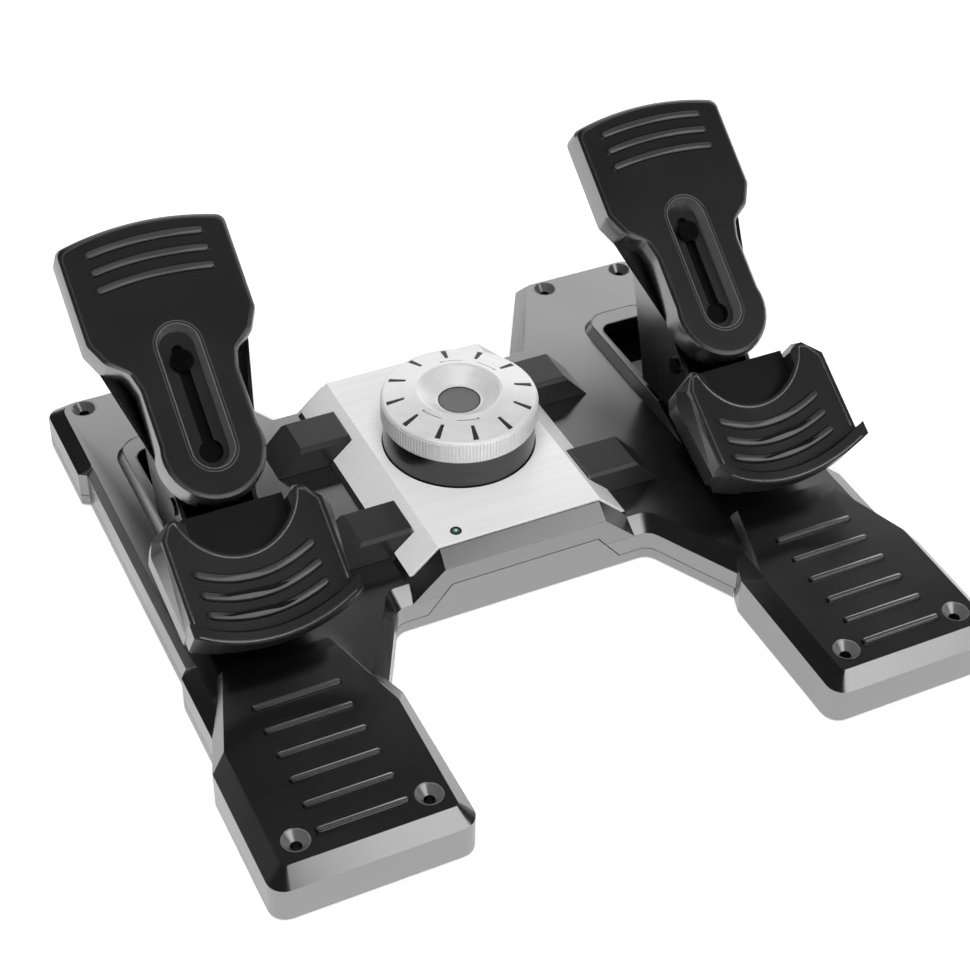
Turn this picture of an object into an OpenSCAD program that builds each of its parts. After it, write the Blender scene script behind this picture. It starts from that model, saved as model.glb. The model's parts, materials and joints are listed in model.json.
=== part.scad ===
// Flight simulator rudder pedals: two foot pedals that swing fore and aft on a pair of crossbars,
// with a toe brake and a size slide on each pedal and a tension dial over the middle.
// X is to the right, Y points away from the user's heels, Z is up, and the ground is Z = 0.

/* [Base] */
// Width of the base over the footrests
base_w = 430; // [410:1:450]
// Depth of the base, from the heel edge to the far edge
base_d = 410; // [396:1:424]
// Height of the wing tops
wing_top = 28.5; // [27:0.5:31]
// How far each wing's side is set in from the footrest's outer side
wing_inset = 12.5; // [10:0.5:17]
// How far each side pod is set in from the same place
pod_inset = 8; // [5:0.5:9.5]
// Length of each rear side pod
pod_l = 70; // [50:1:90]
// How far the flat of each wing top is set in from the same place
flat_inset = 16.6; // [16:0.2:21]
// Gap between the wings at the far edge
rear_gap_w = 233; // [225:1:240]
// Width of the floor of that gap
rear_neck_w = 160; // [150:1:166]
// Depth of that gap as a share of the base's depth
rear_gap_share = 0.1585366; // [0.147:0.001:0.165]
// Depth of the gap between the footrests as a share of the base's depth
front_gap_share = 0.3902439; // [0.384:0.001:0.397]
// Wall thickness of the mouldings
wall = 2.6; // [2:0.1:3.2]
// Width of the bevel round the upper edges
bevel = 8.5; // [7:0.5:9.5]
// Height of the base tray's edge
tray_line = 8.2; // [7:0.1:9]
// Height of the tray's floor underside
ground_gap = 1.5; // [1:0.1:2]

/* [Footrests] */
// Width of each footrest
foot_w = 111; // [106:1:114]
// Length of each footrest
foot_l = 143; // [138:1:148]
// Height of a footrest's near edge
foot_near_z = 31; // [30:0.5:33]
// Height of a footrest's far edge
foot_far_z = 33.5; // [32.5:0.5:36]
// Length of a grip ridge
foot_ridge_l = 49.6; // [40:0.2:54]
// Spacing of the grip ridges
foot_ridge_pitch = 17.6; // [15:0.1:18]
// Number of grip ridges on a footrest
foot_ridges = 6; // [3:1:6]

/* [Fixing holes] */
// Radius of each fixing hole
fix_r = 3.2; // [2.5:0.1:3.5]
// Radius of its countersink
fix_sink_r = 7.6; // [6.5:0.1:8]
// Distance of each outer hole at the heel edge from the footrest's outer side
fix_near_out = 20.5; // [19:0.5:25]
// Distance of each inner hole at the heel edge from the footrest's inner side
fix_near_in = 19.2; // [17:0.2:22]
// Distance of these holes from the heel edge
fix_near_edge = 21.2; // [19:0.2:23]
// Distance of each outer hole at the far edge from the side pod's side
fix_far_out = 20.7; // [19:0.1:24]
// Distance of each inner hole at the far edge from the gap between the wings
fix_far_in = 13.7; // [12:0.1:16]
// Distance of these holes from the far edge
fix_far_edge = 15.4; // [14:0.2:17]

/* [Centre block] */
// Height of the metal plate's flat top
plate_top = 48.4; // [46:0.2:50]
// Width of that flat top
plate_flat_w = 101.6; // [98:0.2:104]
// Width of the plate over its slopes
plate_w = 136.2; // [133:0.2:138]
// Height of the plate's lower edges
plate_low = 32.3; // [31.5:0.1:34]
// Gap from the ends of the block under the plate to the edges of the wings, both together
block_gap = 2.2; // [1:0.1:3]
// Sheet thickness of the plate
plate_t = 1.6; // [1:0.1:2]
// Height of the block's front face
block_face_z = 38.5; // [36:0.5:39.5]
// Width of the block's foot, where the legs start
block_foot_w = 160; // [156:1:164]
// Height of the raised middle of the tray's front wall
tray_rise = 26.2; // [22:0.2:28]
// Width of that raised middle
tray_rise_w = 91.8; // [86:0.2:96]

/* [Hoods] */
// Height of the hoods' tops
hood_top = 45.5; // [42:0.5:47]
// Size of a hood along the pedals' travel
hood_d = 29.5; // [26:0.5:32]
// Distance of a hood's roof end from the middle
hood_roof_x = 87; // [80:1:92]
// Distance of a hood's foot from the middle
hood_foot_x = 101; // [98:1:106]

/* [Crossbars] */
// Distance between the two crossbars
bar_gap = 90; // [84:1:94]
// How far each pedal's centre line is set in from the footrest's outer side
pedal_inset = 57.5; // [56:0.5:59]
// Furthest turn of the crossbars each way, in degrees
rudder_swing = 14; // [8:1:14]
// Width of a crossbar
bar_w = 16; // [12:1:18]
// Thickness of a crossbar
bar_t = 4; // [3:0.5:4.5]
// Radius of the main pivot posts
post_r = 6; // [5:0.5:7]
// Radius of the pins at the bars' ends
pin_r = 4; // [3:0.5:4.5]

/* [Tension dial] */
// Radius of the knurled dial
dial_r = 45.4; // [42:0.2:47]
// Height of the dial's top
dial_top = 80.4; // [78:0.2:84]
// Height of the dial's rim
dial_rim_h = 13.4; // [11:0.2:15]
// Radius of the drum under the dial
drum_r = 44.8; // [41:0.2:46]
// Radius of the bowl in the dial
bowl_r = 24; // [18:0.5:26]
// Depth of that bowl
bowl_depth = 8.2; // [6:0.2:9]
// Rise of the dial's face from its rim to the bowl
dial_rise = 5; // [3:0.2:6]
// Radius of the cap in the bowl
cap_r = 11.8; // [9:0.2:13]
// Number of marks round the dial
dial_marks = 12; // [8:1:16]

/* [Pedals] */
// Angle of the toe plates above level, in degrees
toe_slope = 36.2; // [34:0.1:38]
// Furthest slide of a toe plate
toe_slide = 40; // [20:1:42]
// Width of a toe plate's head
toe_w = 92; // [86:1:96]
// Width of a toe plate's waist
toe_waist_w = 52; // [48:1:56]
// Radius of the round foot of a toe plate
toe_lobe_r = 27; // [26:0.5:28]
// Length of a toe plate from that round foot's centre
toe_len = 132; // [126:1:136]
// Depth of a toe plate's skirt
toe_depth = 17; // [13:0.5:18]
// Half width of the trough in a toe plate
trough_r = 12; // [11:0.5:13]
// Length of the trough above the round foot's centre
trough_l = 72; // [66:1:76]
// Width of a heel cup
cup_w = 89.4; // [84:0.2:92]
// Radius that a heel cup is curved to
cup_bend_r = 98; // [92:2:130]
// Depth of a heel cup's sides
cup_side = 13; // [11:0.5:14]
// Height of the lip at the bottom of a heel cup
lip_h = 5; // [3:0.5:6]
// Height of a pedal's upright above the ground
fin_h = 109; // [108:0.5:110]
// Width of a pedal's upright
fin_w = 44; // [42:0.5:46]
// Wall of a pedal's upright
fin_wall = 2.6; // [2:0.1:3]

/* [Fits] */
// Gap between parts that move past each other
gap = 0.3; // [0.3:0.05:0.5]
// Radial clearance of a running fit
run = 0.06; // [0.04:0.01:0.08]
// Radial clearance of a pressed or bonded seat
seat = 0.02; // [0.01:0.01:0.04]

/* [Hidden] */
$fn = 48;
// Facets of round corners in plan
corner_steps = 5;
over = 1;

// Colours of the materials
black = [0.13, 0.13, 0.14];
grey = [0.2, 0.2, 0.21];
silver = [0.84, 0.85, 0.86];
steel = [0.62, 0.63, 0.65];
drum_dark = [0.16, 0.16, 0.17];
rubber = [0.06, 0.06, 0.06];
copper_green = [0.05, 0.3, 0.16];
lens_green = [0.2, 0.75, 0.4];
brass = [0.75, 0.6, 0.3];

// Main places of the base, on its right half
foot_x = base_w / 2;
wing_x = foot_x - wing_inset;
pod_x = foot_x - pod_inset;
flat_x = foot_x - flat_inset;
far_y = base_d / 2;
near_y = -base_d / 2;
block_y = near_y + front_gap_share * base_d;
neck_y = far_y - rear_gap_share * base_d;
foot_in_x = foot_x - foot_w;
foot_far_y = near_y + foot_l;
leg_step = 3.8;
leg_drop = 35.2;
leg_x = foot_in_x + leg_step;
leg_y = foot_far_y - leg_drop;
bevel_side_h = 4.5;
bevel_z = wing_top - bevel;
side_bevel_z = wing_top - bevel_side_h;
pod_ramp = 6;
pod_near_l = 46;
rear_bevel = 7.5;
seam = 0.3;
skin_z = tray_line + seam;

// Plan of the wings and legs at the foot of the bevel, right half, heel side first
deck_low = [
    [block_foot_w / 2, block_y],
    [leg_x, leg_y],
    [leg_x + pod_ramp, foot_far_y - pod_near_l - pod_ramp],
    [pod_x, foot_far_y - pod_near_l - pod_ramp],
    [pod_x, foot_far_y + 2 * pod_ramp],
    [wing_x, foot_far_y + 3 * pod_ramp],
    [wing_x, far_y - pod_l - pod_ramp / 2],
    [pod_x, far_y - pod_l],
    [pod_x, far_y],
    [rear_gap_w / 2, far_y],
    [rear_neck_w / 2, neck_y]];
// The same corners on the flat top
deck_top = [
    [block_foot_w / 2 + bevel / 4, block_y + bevel],
    [leg_x + bevel, leg_y + bevel / 3],
    [leg_x + pod_ramp + bevel, foot_far_y - pod_near_l],
    [flat_x, foot_far_y - pod_near_l],
    [flat_x, foot_far_y + 2 * pod_ramp],
    [flat_x, foot_far_y + 3 * pod_ramp],
    [flat_x, far_y - pod_l - pod_ramp / 2],
    [flat_x, far_y - pod_l],
    [flat_x, far_y - rear_bevel],
    [rear_gap_w / 2 + bevel / 2, far_y - rear_bevel],
    [rear_neck_w / 2 + bevel / 1.5, neck_y - bevel]];
// How far each corner has moved in, along X and Y, at the foot of the side bevels
deck_mid_shares = [[0.45, 0.45], [0.45, 0.45], [0.45, 0.45], [0, 0.45], [0, 0], [0, 0], [0, 0],
    [0, 0], [0, 0.45], [0.45, 0.45], [0.45, 0.45]];
corner_r = 8;
// Share of the wall that a bevel's lower edge sits lower on the inside
bevel_wall_share = 0.4;
// Share of the top bevel's rise that the outline runs on past the flat top before it is cut level
deck_past = 1.25;
deck_radius_shares = [1.2, 0.8, 0, 0, 0, 0, 0, 0, 1.1, 0.5, 0.5];

// Plan of a footrest at the foot of its bevel, and on its top
foot_low = [
    [foot_in_x, near_y],
    [foot_x, near_y],
    [foot_x, near_y + 0.59 * foot_l],
    [foot_x - 2.6 * bevel, foot_far_y + bevel / 3],
    [foot_in_x + 2.1 * bevel, foot_far_y + bevel / 3],
    [foot_in_x, near_y + 0.68 * foot_l]];
foot_high = [
    [foot_in_x + bevel, near_y + bevel],
    [foot_x - bevel, near_y + bevel],
    [foot_x - bevel, near_y + 0.625 * foot_l],
    [foot_x - 3.2 * bevel, foot_far_y],
    [foot_in_x + 2.75 * bevel, foot_far_y],
    [foot_in_x + 0.85 * bevel, near_y + 0.6 * foot_l]];
foot_low_radius_shares = [1.2, 1.2, 0.6, 0.3, 0.3, 0.6];
foot_high_radius_shares = [0.35, 0.35, 0.6, 0.3, 0.3, 0.6];

// Centre block under the plate
end_step = 0.9;
block_l = neck_y - block_y - block_gap;
plate_l = block_l - 2 * (bevel + end_step);
mid_y = block_y + block_l / 2;
slope_run = (plate_w - plate_flat_w) / 2;
slope_rise = plate_top - plate_low;
block_top = plate_top - plate_t;

// Hood places: two on each side, one over each crossbar
bar_y = [mid_y - bar_gap / 2, mid_y + bar_gap / 2];
hood_past = 5;
hood_in_x = plate_flat_w / 2 + hood_past;
hood_bevel = 3;

// Heights of the mechanism
floor_z = ground_gap + wall;
bar_rise = 7;
bar_z = floor_z + bar_rise;
hub_r = 13;
hub_below = 2;
hub_above = 9;
hub_z = [bar_z - hub_below, bar_z + hub_above];
bush_t = 3;
bush_r = post_r + bush_t;
pedal_x = foot_x - pedal_inset;
foot_plate_z = bar_z + bar_t + gap;
foot_plate_t = 5;
neck_w = 26;

// Slot for each pedal, and the raised collar round its far part
slot_in_gap = 6;
slot_out_gap = 3.5;
slot_in_x = pedal_x - neck_w / 2 - slot_in_gap;
slot_out_x = pedal_x + neck_w / 2 + slot_out_gap;
neck_y_range = [4, 64];
travel = pedal_x * sin(rudder_swing);
slot_end_gap = [3.9, 27.9];
slot_y = [neck_y_range[0] - travel - slot_end_gap[0], neck_y_range[1] + travel + slot_end_gap[1]];
collar_w = 5;
collar_reach = [38.4, 100.6];
collar_y = [mid_y - collar_reach[0], mid_y + collar_reach[1]];
collar_h = 6;
collar_foot = [2, 4];
collar_top_in = 2;
collar_ramp = 40;

// Pedal frame: the centre of a toe plate's round foot
key_y = 20.1;
key_z = 113.9;
axle_y = 30;
axle_z = 72;
axle_r = 3.5;
skirt_out = 2.5;
trough_depth = 7.5;
trough_floor = 3;
arm_gap = gap;
arm_t = 4;
clamp_end = 12;
clamp_v = toe_slide + clamp_end;
clamp_r = 2.6;
cup_v = -77.5;
cup_h = 2.7;
cup_tilt = -4.6;
cup_t = 5;

// A point mirrored to the left half
function flip(p) = [-p.x, p.y];
// The whole outline from its right half, anticlockwise from above
function both(points) = concat(points, [for (i = [len(points) - 1:-1:0]) flip(points[i])]);
function unit(v) = v / norm(v);
function turn_left(v) = [-v.y, v.x];
// A corner rounded to a radius, as points from one side to the other
function corner(a, p, b, r, n) = r <= 0 ? [p] :
    let (u = unit(a - p), w = unit(b - p), half = acos(u * w) / 2,
        c = p + unit(u + w) * r / sin(half), s = p + u * r / tan(half), e = p + w * r / tan(half),
        a0 = atan2(s.y - c.y, s.x - c.x), a1 = atan2(e.y - c.y, e.x - c.x),
        d = (a1 - a0 + 540) % 360 - 180)
    [for (k = [0:n]) c + r * [cos(a0 + d * k / n), sin(a0 + d * k / n)]];
// An outline with each corner rounded to its own radius
function rounded(points, radii, n = corner_steps) = let (m = len(points))
    [for (i = [0:m - 1]) each corner(points[(i + m - 1) % m], points[i], points[(i + 1) % m], radii[i], n)];
// An anticlockwise outline moved inwards by one distance
function inset(points, d) = let (m = len(points))
    [for (i = [0:m - 1])
        let (n1 = turn_left(unit(points[i] - points[(i + m - 1) % m])),
            n2 = turn_left(unit(points[(i + 1) % m] - points[i])))
        points[i] + d * (n1 + n2) / (1 + n1 * n2)];
// A straight slot or ridge along Y with round ends
function slot_shape(r, low, high, n = 6) = concat(
    [for (k = [0:n]) [r * cos(180 * k / n), high + r * sin(180 * k / n)]],
    [for (k = [0:n]) [-r * cos(180 * k / n), low - r * sin(180 * k / n)]]);
function spoke(a, s) = [sin(a), s * cos(a)];
// A bowed ridge with round ends: an arc's stretch above its centre or, with s = -1, below it
function bow(centre, r, half, w, s, n = 10) = concat(
    [for (k = [0:n]) centre + (r + w) * spoke(half * (2 * k / n - 1), s)],
    [for (k = [1:5]) centre + r * spoke(half, s)
        + w * (cos(30 * k) * spoke(half, s) + sin(30 * k) * spoke(half + 90, s))],
    [for (k = [n:-1:0]) centre + (r - w) * spoke(half * (2 * k / n - 1), s)],
    [for (k = [1:5]) centre + r * spoke(-half, s)
        - w * (cos(30 * k) * spoke(-half, s) + sin(30 * k) * spoke(90 - half, s))]);
function both_values(v) = concat(v, [for (i = [len(v) - 1:-1:0]) v[i]]);
function mixed(a, b, shares) = [for (i = [0:len(a) - 1])
    [a[i].x + (b[i].x - a[i].x) * shares[i].x, a[i].y + (b[i].y - a[i].y) * shares[i].y]];
function lifted(points, z) = [for (p = points) [p.x, p.y, z]];

// A solid through stacked outlines that have the same number of points
module loft(rings) {
    n = len(rings[0]);
    last = len(rings) - 1;
    polyhedron(
        points = [for (r = rings) each r],
        faces = concat(
            [[for (i = [0:n - 1]) i]],
            [[for (i = [n - 1:-1:0]) last * n + i]],
            [for (k = [0:last - 1], i = [0:n - 1])
                [k * n + i, (k + 1) * n + i, (k + 1) * n + (i + 1) % n]],
            [for (k = [0:last - 1], i = [0:n - 1])
                [k * n + i, (k + 1) * n + (i + 1) % n, k * n + (i + 1) % n]]));
}

module mirrored() {
    children();
    mirror([1, 0, 0]) children();
}

// side is 1 for the right pedal and -1 for the left one
module on_side(side) {
    mirror([side < 0 ? 1 : 0, 0, 0]) children();
}

// Wings and legs, moved inwards by t, from a height up
module deck(t, from_z) {
    radii = both_values(deck_radius_shares * corner_r);
    low = rounded(inset(both(deck_low), t), radii);
    mid = rounded(inset(both(mixed(deck_low, deck_top, deck_mid_shares)), t), radii);
    top = rounded(inset(both(deck_top), t), radii);
    foot_z = bevel_z - t * bevel_wall_share;
    mid_z = side_bevel_z - t * bevel_wall_share;
    past = mid + (top - mid) * deck_past;
    difference() {
        loft([lifted(low, from_z - over), lifted(low, foot_z), lifted(mid, mid_z),
            lifted(past, mid_z + (wing_top - t - mid_z) * deck_past)]);
        for (z = [wing_top - t, from_z - wing_top])
            translate([-base_w, -base_d, z])
                cube([2 * base_w, 2 * base_d, wing_top]);
    }
}

function foot_z_at(y) = foot_near_z + (foot_far_z - foot_near_z) * (y - near_y) / foot_l;

// Right footrest, moved inwards by t, from a height up
module footrest(t, from_z) {
    low = rounded(inset(foot_low, t), foot_low_radius_shares * corner_r);
    high = rounded(inset(foot_high, t), foot_high_radius_shares * corner_r);
    loft([lifted(low, from_z), [for (p = low) [p.x, p.y, foot_z_at(p.y) - bevel - t * bevel_wall_share]],
        [for (p = high) [p.x, p.y, foot_z_at(p.y) - t]]]);
}

// Half width of the block's sloping side at a height, for a slope moved inwards by t
function slope_x(z, t) = plate_flat_w / 2 + (plate_top - z) * slope_run / slope_rise
    - t * norm([slope_run, slope_rise]) / slope_rise;

module block_slice(y, top, t, shift) {
    low = bevel_z - 2 * over;
    translate([0, y, 0])
        rotate([90, 0, 0])
            linear_extrude(height = seam, center = true)
                polygon([[slope_x(low, t) - shift, low], [slope_x(top, t) - shift, top],
                    [-slope_x(top, t) + shift, top], [-slope_x(low, t) + shift, low]]);
}

// Block under the plate, moved inwards by t, with a bevel at both ends
module block(t) {
    half = block_l / 2 - t;
    hull() {
        for (s = [-1, 1]) {
            block_slice(mid_y + s * (half - seam / 2), block_face_z - t * bevel_wall_share, t + plate_t, bevel);
            block_slice(mid_y + s * (half - bevel - end_step), block_top - t, t + plate_t, 0);
        }
    }
}

// One hood on the right, over the crossbar at y
module hood(y, t) {
    size = hood_d - 2 * t;
    low = wing_top - (t > 0 ? 2 * wall : wall / 2);
    difference() {
        translate([0, y + size / 2, 0])
            rotate([90, 0, 0])
                linear_extrude(height = size)
                    polygon([[hood_in_x - 4 * t, low], [hood_foot_x + wall - t, low],
                        [hood_roof_x - t * 0.6, hood_top - t], [hood_in_x - 4 * t, hood_top - t]]);
        for (s = [-1, 1])
            translate([hood_roof_x, y + s * size / 2, hood_top - t])
                rotate([45, 0, 0])
                    cube([hood_roof_x, hood_bevel, hood_bevel], center = true);
    }
}

module hoods(t) {
    mirrored()
        for (y = bar_y)
            hood(y, t);
}

// Raised collar round the far part of the right slot
module collar() {
    in_x = slot_in_x - collar_w;
    out_x = slot_out_x + collar_w;
    low = [[in_x - collar_foot[0], collar_y[0]], [out_x + collar_foot[1], collar_y[0]],
        [out_x + collar_foot[1], collar_y[1]], [in_x - collar_foot[0], collar_y[1]]];
    high = [[in_x + collar_top_in, collar_y[0] + collar_ramp], [out_x, collar_y[0] + collar_ramp],
        [out_x, collar_y[1] - collar_w], [in_x + collar_top_in, collar_y[1] - collar_w]];
    loft([lifted(rounded(low, [0, 0, 2, 2] * corner_r), wing_top - wall / 2),
        lifted(rounded(low, [0, 0, 2, 2] * corner_r), wing_top),
        lifted(rounded(high, [0, 0, 1.5, 1.5] * corner_r), wing_top + collar_h)]);
}

module slot_hole() {
    hole = [[slot_in_x, slot_y[0]], [slot_out_x, slot_y[0]], [slot_out_x, slot_y[1]], [slot_in_x, slot_y[1]]];
    translate([0, 0, bevel_z])
        linear_extrude(height = plate_top)
            polygon(rounded(hole, [1, 1, 1, 1] * corner_r));
}

fix_near = [[foot_x - fix_near_out, near_y + fix_near_edge], [foot_in_x + fix_near_in, near_y + fix_near_edge]];
fix_far = [[pod_x - fix_far_out, far_y - fix_far_edge], [rear_gap_w / 2 + fix_far_in, far_y - fix_far_edge]];
fix_boss_r = 6.4;
screw_boss_r = 4.4;
screw_r = 1.5;
screw_head_r = 2.9;
case_screw_l = 12;
case_screw_head_t = 2;
// Insets of the case screws from the block's foot, the gap between the wings and the wing's side
case_screw_in = [10, 7.5, 12.5];
case_screw_y = [0, 107.6, -6.4];
case_screw_at = [[block_foot_w / 2 + case_screw_in[0], mid_y + case_screw_y[0]],
    [rear_gap_w / 2 + case_screw_in[1], mid_y + case_screw_y[1]],
    [wing_x - case_screw_in[2], mid_y + case_screw_y[2]]];
foot_screw_in = [25, 65];
foot_screw_y = [77, 55];
foot_screw_at = [for (k = [0, 1]) [foot_x - foot_screw_in[k], near_y + foot_screw_y[k]]];

module at_places(places, z) {
    for (p = places)
        translate([p.x, p.y, z])
            children();
}

module boss(p, r, top) {
    translate([p.x, p.y, floor_z + gap])
        cylinder(r = r, h = top - wall / 2 - floor_z - gap);
}

module foot_grips() {
    for (k = [0:foot_ridges - 1]) {
        y = foot_far_y - foot_ridge_inset - k * foot_ridge_pitch;
        translate([foot_in_x + foot_w * foot_grip_share, y, foot_z_at(y) - wall / 2])
            rotate(90)
                linear_extrude(height = wall / 2 + grip_h)
                    polygon(slot_shape(grip_half, grip_half - foot_ridge_l / 2, foot_ridge_l / 2 - grip_half));
    }
}

// Share of a footrest's width at which the ridges' middles sit
foot_grip_share = 0.493;
grip_half = 1.7;
grip_h = 1.3;
foot_ridge_inset = 32.7;

spindle_r = 5;
lens_r = 2.4;
lens_in = [14.6, 8.1];
lens_at = [lens_in.x - plate_flat_w / 2, mid_y - plate_l / 2 + lens_in.y];
gland_z = 13.7;
gland_r = 4;
cable_r = 2.4;
gland_flange_t = 2;
gland_flange_w = 1.6;
gland_nut_w = 1.2;
rise_run = 15;

// Front view of the raised middle of the tray's front wall
module rise_face(grow) {
    x = tray_rise_w / 2 + grow;
    polygon([[-x - rise_run, tray_line - over], [x + rise_run, tray_line - over],
        [x + rise_run, tray_line + grow], [x, tray_rise + grow], [-x, tray_rise + grow],
        [-x - rise_run, tray_line + grow]]);
}

module tray_rise_wall(grow, depth) {
    translate([0, block_y + depth, 0])
        rotate([90, 0, 0])
            linear_extrude(height = depth + (grow > 0 ? over : 0))
                rise_face(grow);
}

module top_shell() {
    color(black)
        difference() {
            union() {
                difference() {
                    union() {
                        deck(0, skin_z);
                        mirrored() collar();
                    }
                    deck(wall, -over);
                    housing_opening();
                    mirrored() slot_hole();
                    tray_rise_wall(seam, 2 * wall);
                }
                mirrored() {
                    for (p = fix_far)
                        boss(p, fix_boss_r, wing_top);
                    for (p = case_screw_at)
                        boss(p, screw_boss_r, wing_top);
                }
            }
            mirrored() {
                at_places(fix_far, wing_top) countersink();
                at_places(case_screw_at, 0) cylinder(r = screw_r + 2 * run, h = floor_z + case_screw_l);
            }
            gland_hole();
        }
}

// Opening in the wings' top under the centre housing
module housing_opening() {
    translate([-opening_w / 2, mid_y - opening_l / 2, bevel_z])
        cube([opening_w, opening_l, plate_top]);
}

opening_w = 128;
opening_l = 158;

module centre_housing() {
    color(black)
        difference() {
            union() {
                block(0);
                hoods(0);
            }
            block(wall);
            hoods(wall);
            deck(-seat, -over);
            tray_rise_wall(seam, 2 * wall);
            translate([0, mid_y, 0]) cylinder(r = bush_out_r + seat, h = dial_top);
            translate([lens_at.x, lens_at.y, 0]) cylinder(r = lens_r + seat, h = dial_top);
        }
}

module footrest_shell(side) {
    on_side(side)
        color(black)
            difference() {
                union() {
                    difference() {
                        footrest(0, ground_gap);
                        footrest(wall, -over);
                        deck(-seat, -over);
                    }
                    foot_grips();
                    for (p = fix_near)
                        boss(p, fix_boss_r, foot_z_at(p.y));
                    for (p = foot_screw_at)
                        boss(p, screw_boss_r, foot_z_at(p.y));
                }
                for (p = fix_near)
                    translate([p.x, p.y, foot_z_at(p.y)])
                        countersink();
                at_places(foot_screw_at, 0) cylinder(r = screw_r + 2 * run, h = floor_z + case_screw_l);
            }
}

sink_depth = 4.6;

// A fixing hole down from its countersunk mouth
module countersink() {
    translate([0, 0, -plate_top])
        cylinder(r = fix_r, h = plate_top);
    translate([0, 0, -sink_depth])
        cylinder(r1 = fix_r - seat, r2 = fix_sink_r + over, h = sink_depth + over);
}

module gland_hole() {
    translate([0, neck_y - 2 * wall, gland_z])
        rotate([-90, 0, 0])
            cylinder(r = gland_r, h = 4 * wall);
}

// Insets of the rubber feet from the outlines' sides and ends
pad_in = [21, 16, 19, 13.5, 20];
pad_y = [55, 75, 35, 37, 15, 20];
foot_pad_at = [[foot_x - pad_in[0], near_y + pad_y[0]], [foot_in_x + pad_in[1], near_y + pad_y[1]],
    [pod_x - pad_in[2], far_y - pad_y[2]], [rear_gap_w / 2 + pad_in[3], far_y - pad_y[3]],
    [block_foot_w / 2 - pad_in[4], block_y + pad_y[4]], [rear_neck_w / 2 - pad_in[4], neck_y - pad_y[5]]];
foot_pad_r = 8;
pad_recess = 1;

module tray_outline() {
    radii = both_values(deck_radius_shares * corner_r);
    polygon(rounded(both(deck_low), radii));
    mirrored()
        polygon(rounded(inset(foot_low, wall + gap), foot_low_radius_shares * corner_r));
}

module base_tray() {
    color(grey)
        difference() {
            union() {
                difference() {
                    translate([0, 0, ground_gap])
                        linear_extrude(height = tray_line - ground_gap)
                            difference() {
                                tray_outline();
                                mirrored() foot_wall_ring();
                            }
                    translate([0, 0, floor_z])
                        linear_extrude(height = tray_line)
                            tray_inside();
                }
                difference() {
                    tray_rise_wall(0, wall);
                    translate([0, 0, ground_gap - tray_line])
                        cube([base_w, base_d, 2 * tray_line], center = true);
                }
                for (y = bar_y)
                    translate([0, y, floor_z - wall / 2])
                        cylinder(r = post_flange_r + wall, h = wall);
            }
            mirrored() {
                at_places(concat(fix_near, fix_far), 0) cylinder(r = fix_r, h = tray_line);
                at_places(concat(case_screw_at, foot_screw_at), 0) {
                    cylinder(r = screw_r + 2 * run, h = tray_line);
                    cylinder(r = screw_head_r + gap, h = ground_gap + screw_sink);
                }
                at_places(foot_pad_at, 0) cylinder(r = foot_pad_r + seat, h = ground_gap + pad_recess);
            }
            for (y = bar_y)
                translate([0, y, 0])
                    cylinder(r = post_stem_r + seat, h = tray_line);
        }
}

screw_sink = 1.2;
post_flange_r = 12;
post_stem_r = 3;

// The footrest's side walls pass outside the tray
module foot_wall_ring() {
    difference() {
        polygon(rounded(inset(foot_low, -seam), foot_low_radius_shares * corner_r));
        polygon(rounded(inset(foot_low, wall + gap), foot_low_radius_shares * corner_r));
        polygon(rounded(inset(both(deck_low), wall + gap), both_values(deck_radius_shares * corner_r)));
    }
}

module tray_inside() {
    radii = both_values(deck_radius_shares * corner_r);
    polygon(rounded(inset(both(deck_low), wall), radii));
    mirrored()
        polygon(rounded(inset(foot_low, 2 * wall + gap), foot_low_radius_shares * corner_r));
}

module plate_profile(t) {
    low = plate_low - (t > 0 ? over : 0);
    polygon([[slope_x(low, t), low], [slope_x(plate_top - t, t), plate_top - t],
        [-slope_x(plate_top - t, t), plate_top - t], [-slope_x(low, t), low]]);
}

module centre_plate() {
    color(silver)
        difference() {
            translate([0, mid_y + plate_l / 2, 0])
                rotate([90, 0, 0])
                    linear_extrude(height = plate_l)
                        difference() {
                            plate_profile(0);
                            plate_profile(plate_t);
                        }
            mirrored()
                for (y = bar_y)
                    translate([hood_in_x - gap, y - hood_d / 2 - gap, 0])
                        cube([hood_foot_x, hood_d + 2 * gap, plate_top + over]);
            translate([0, mid_y, 0]) cylinder(r = bush_out_r + seat, h = dial_top);
            translate([lens_at.x, lens_at.y, 0]) cylinder(r = lens_r + seat, h = dial_top);
        }
}

module power_lens() {
    color(lens_green)
        translate([lens_at.x, lens_at.y, block_top - 3 * wall])
            cylinder(r = lens_r, h = plate_top + seam - block_top + 3 * wall);
}

module rubber_feet() {
    color(rubber)
        mirrored()
            at_places(foot_pad_at, 0) cylinder(r = foot_pad_r, h = ground_gap + pad_recess);
}

module case_screws() {
    color(steel)
        mirrored()
            at_places(concat(case_screw_at, foot_screw_at), 0) {
                translate([0, 0, ground_gap + screw_sink - case_screw_head_t])
                    cylinder(r = screw_head_r, h = case_screw_head_t);
                translate([0, 0, ground_gap + screw_sink - over])
                    cylinder(r = screw_r, h = case_screw_l);
            }
}

module cable_gland() {
    color(rubber)
        translate([0, neck_y, gland_z])
            rotate([90, 0, 0])
                difference() {
                    union() {
                        translate([0, 0, -gland_flange_t])
                            cylinder(r = gland_r + gland_flange_w, h = gland_flange_t);
                        cylinder(r = gland_r - seat, h = wall);
                        translate([0, 0, wall]) cylinder(r = gland_r + gland_nut_w, h = gland_flange_t);
                    }
                    translate([0, 0, -2 * over - gland_flange_t]) cylinder(r = cable_r, h = 6 * wall);
                }
}

board_gap = 3;
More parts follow.
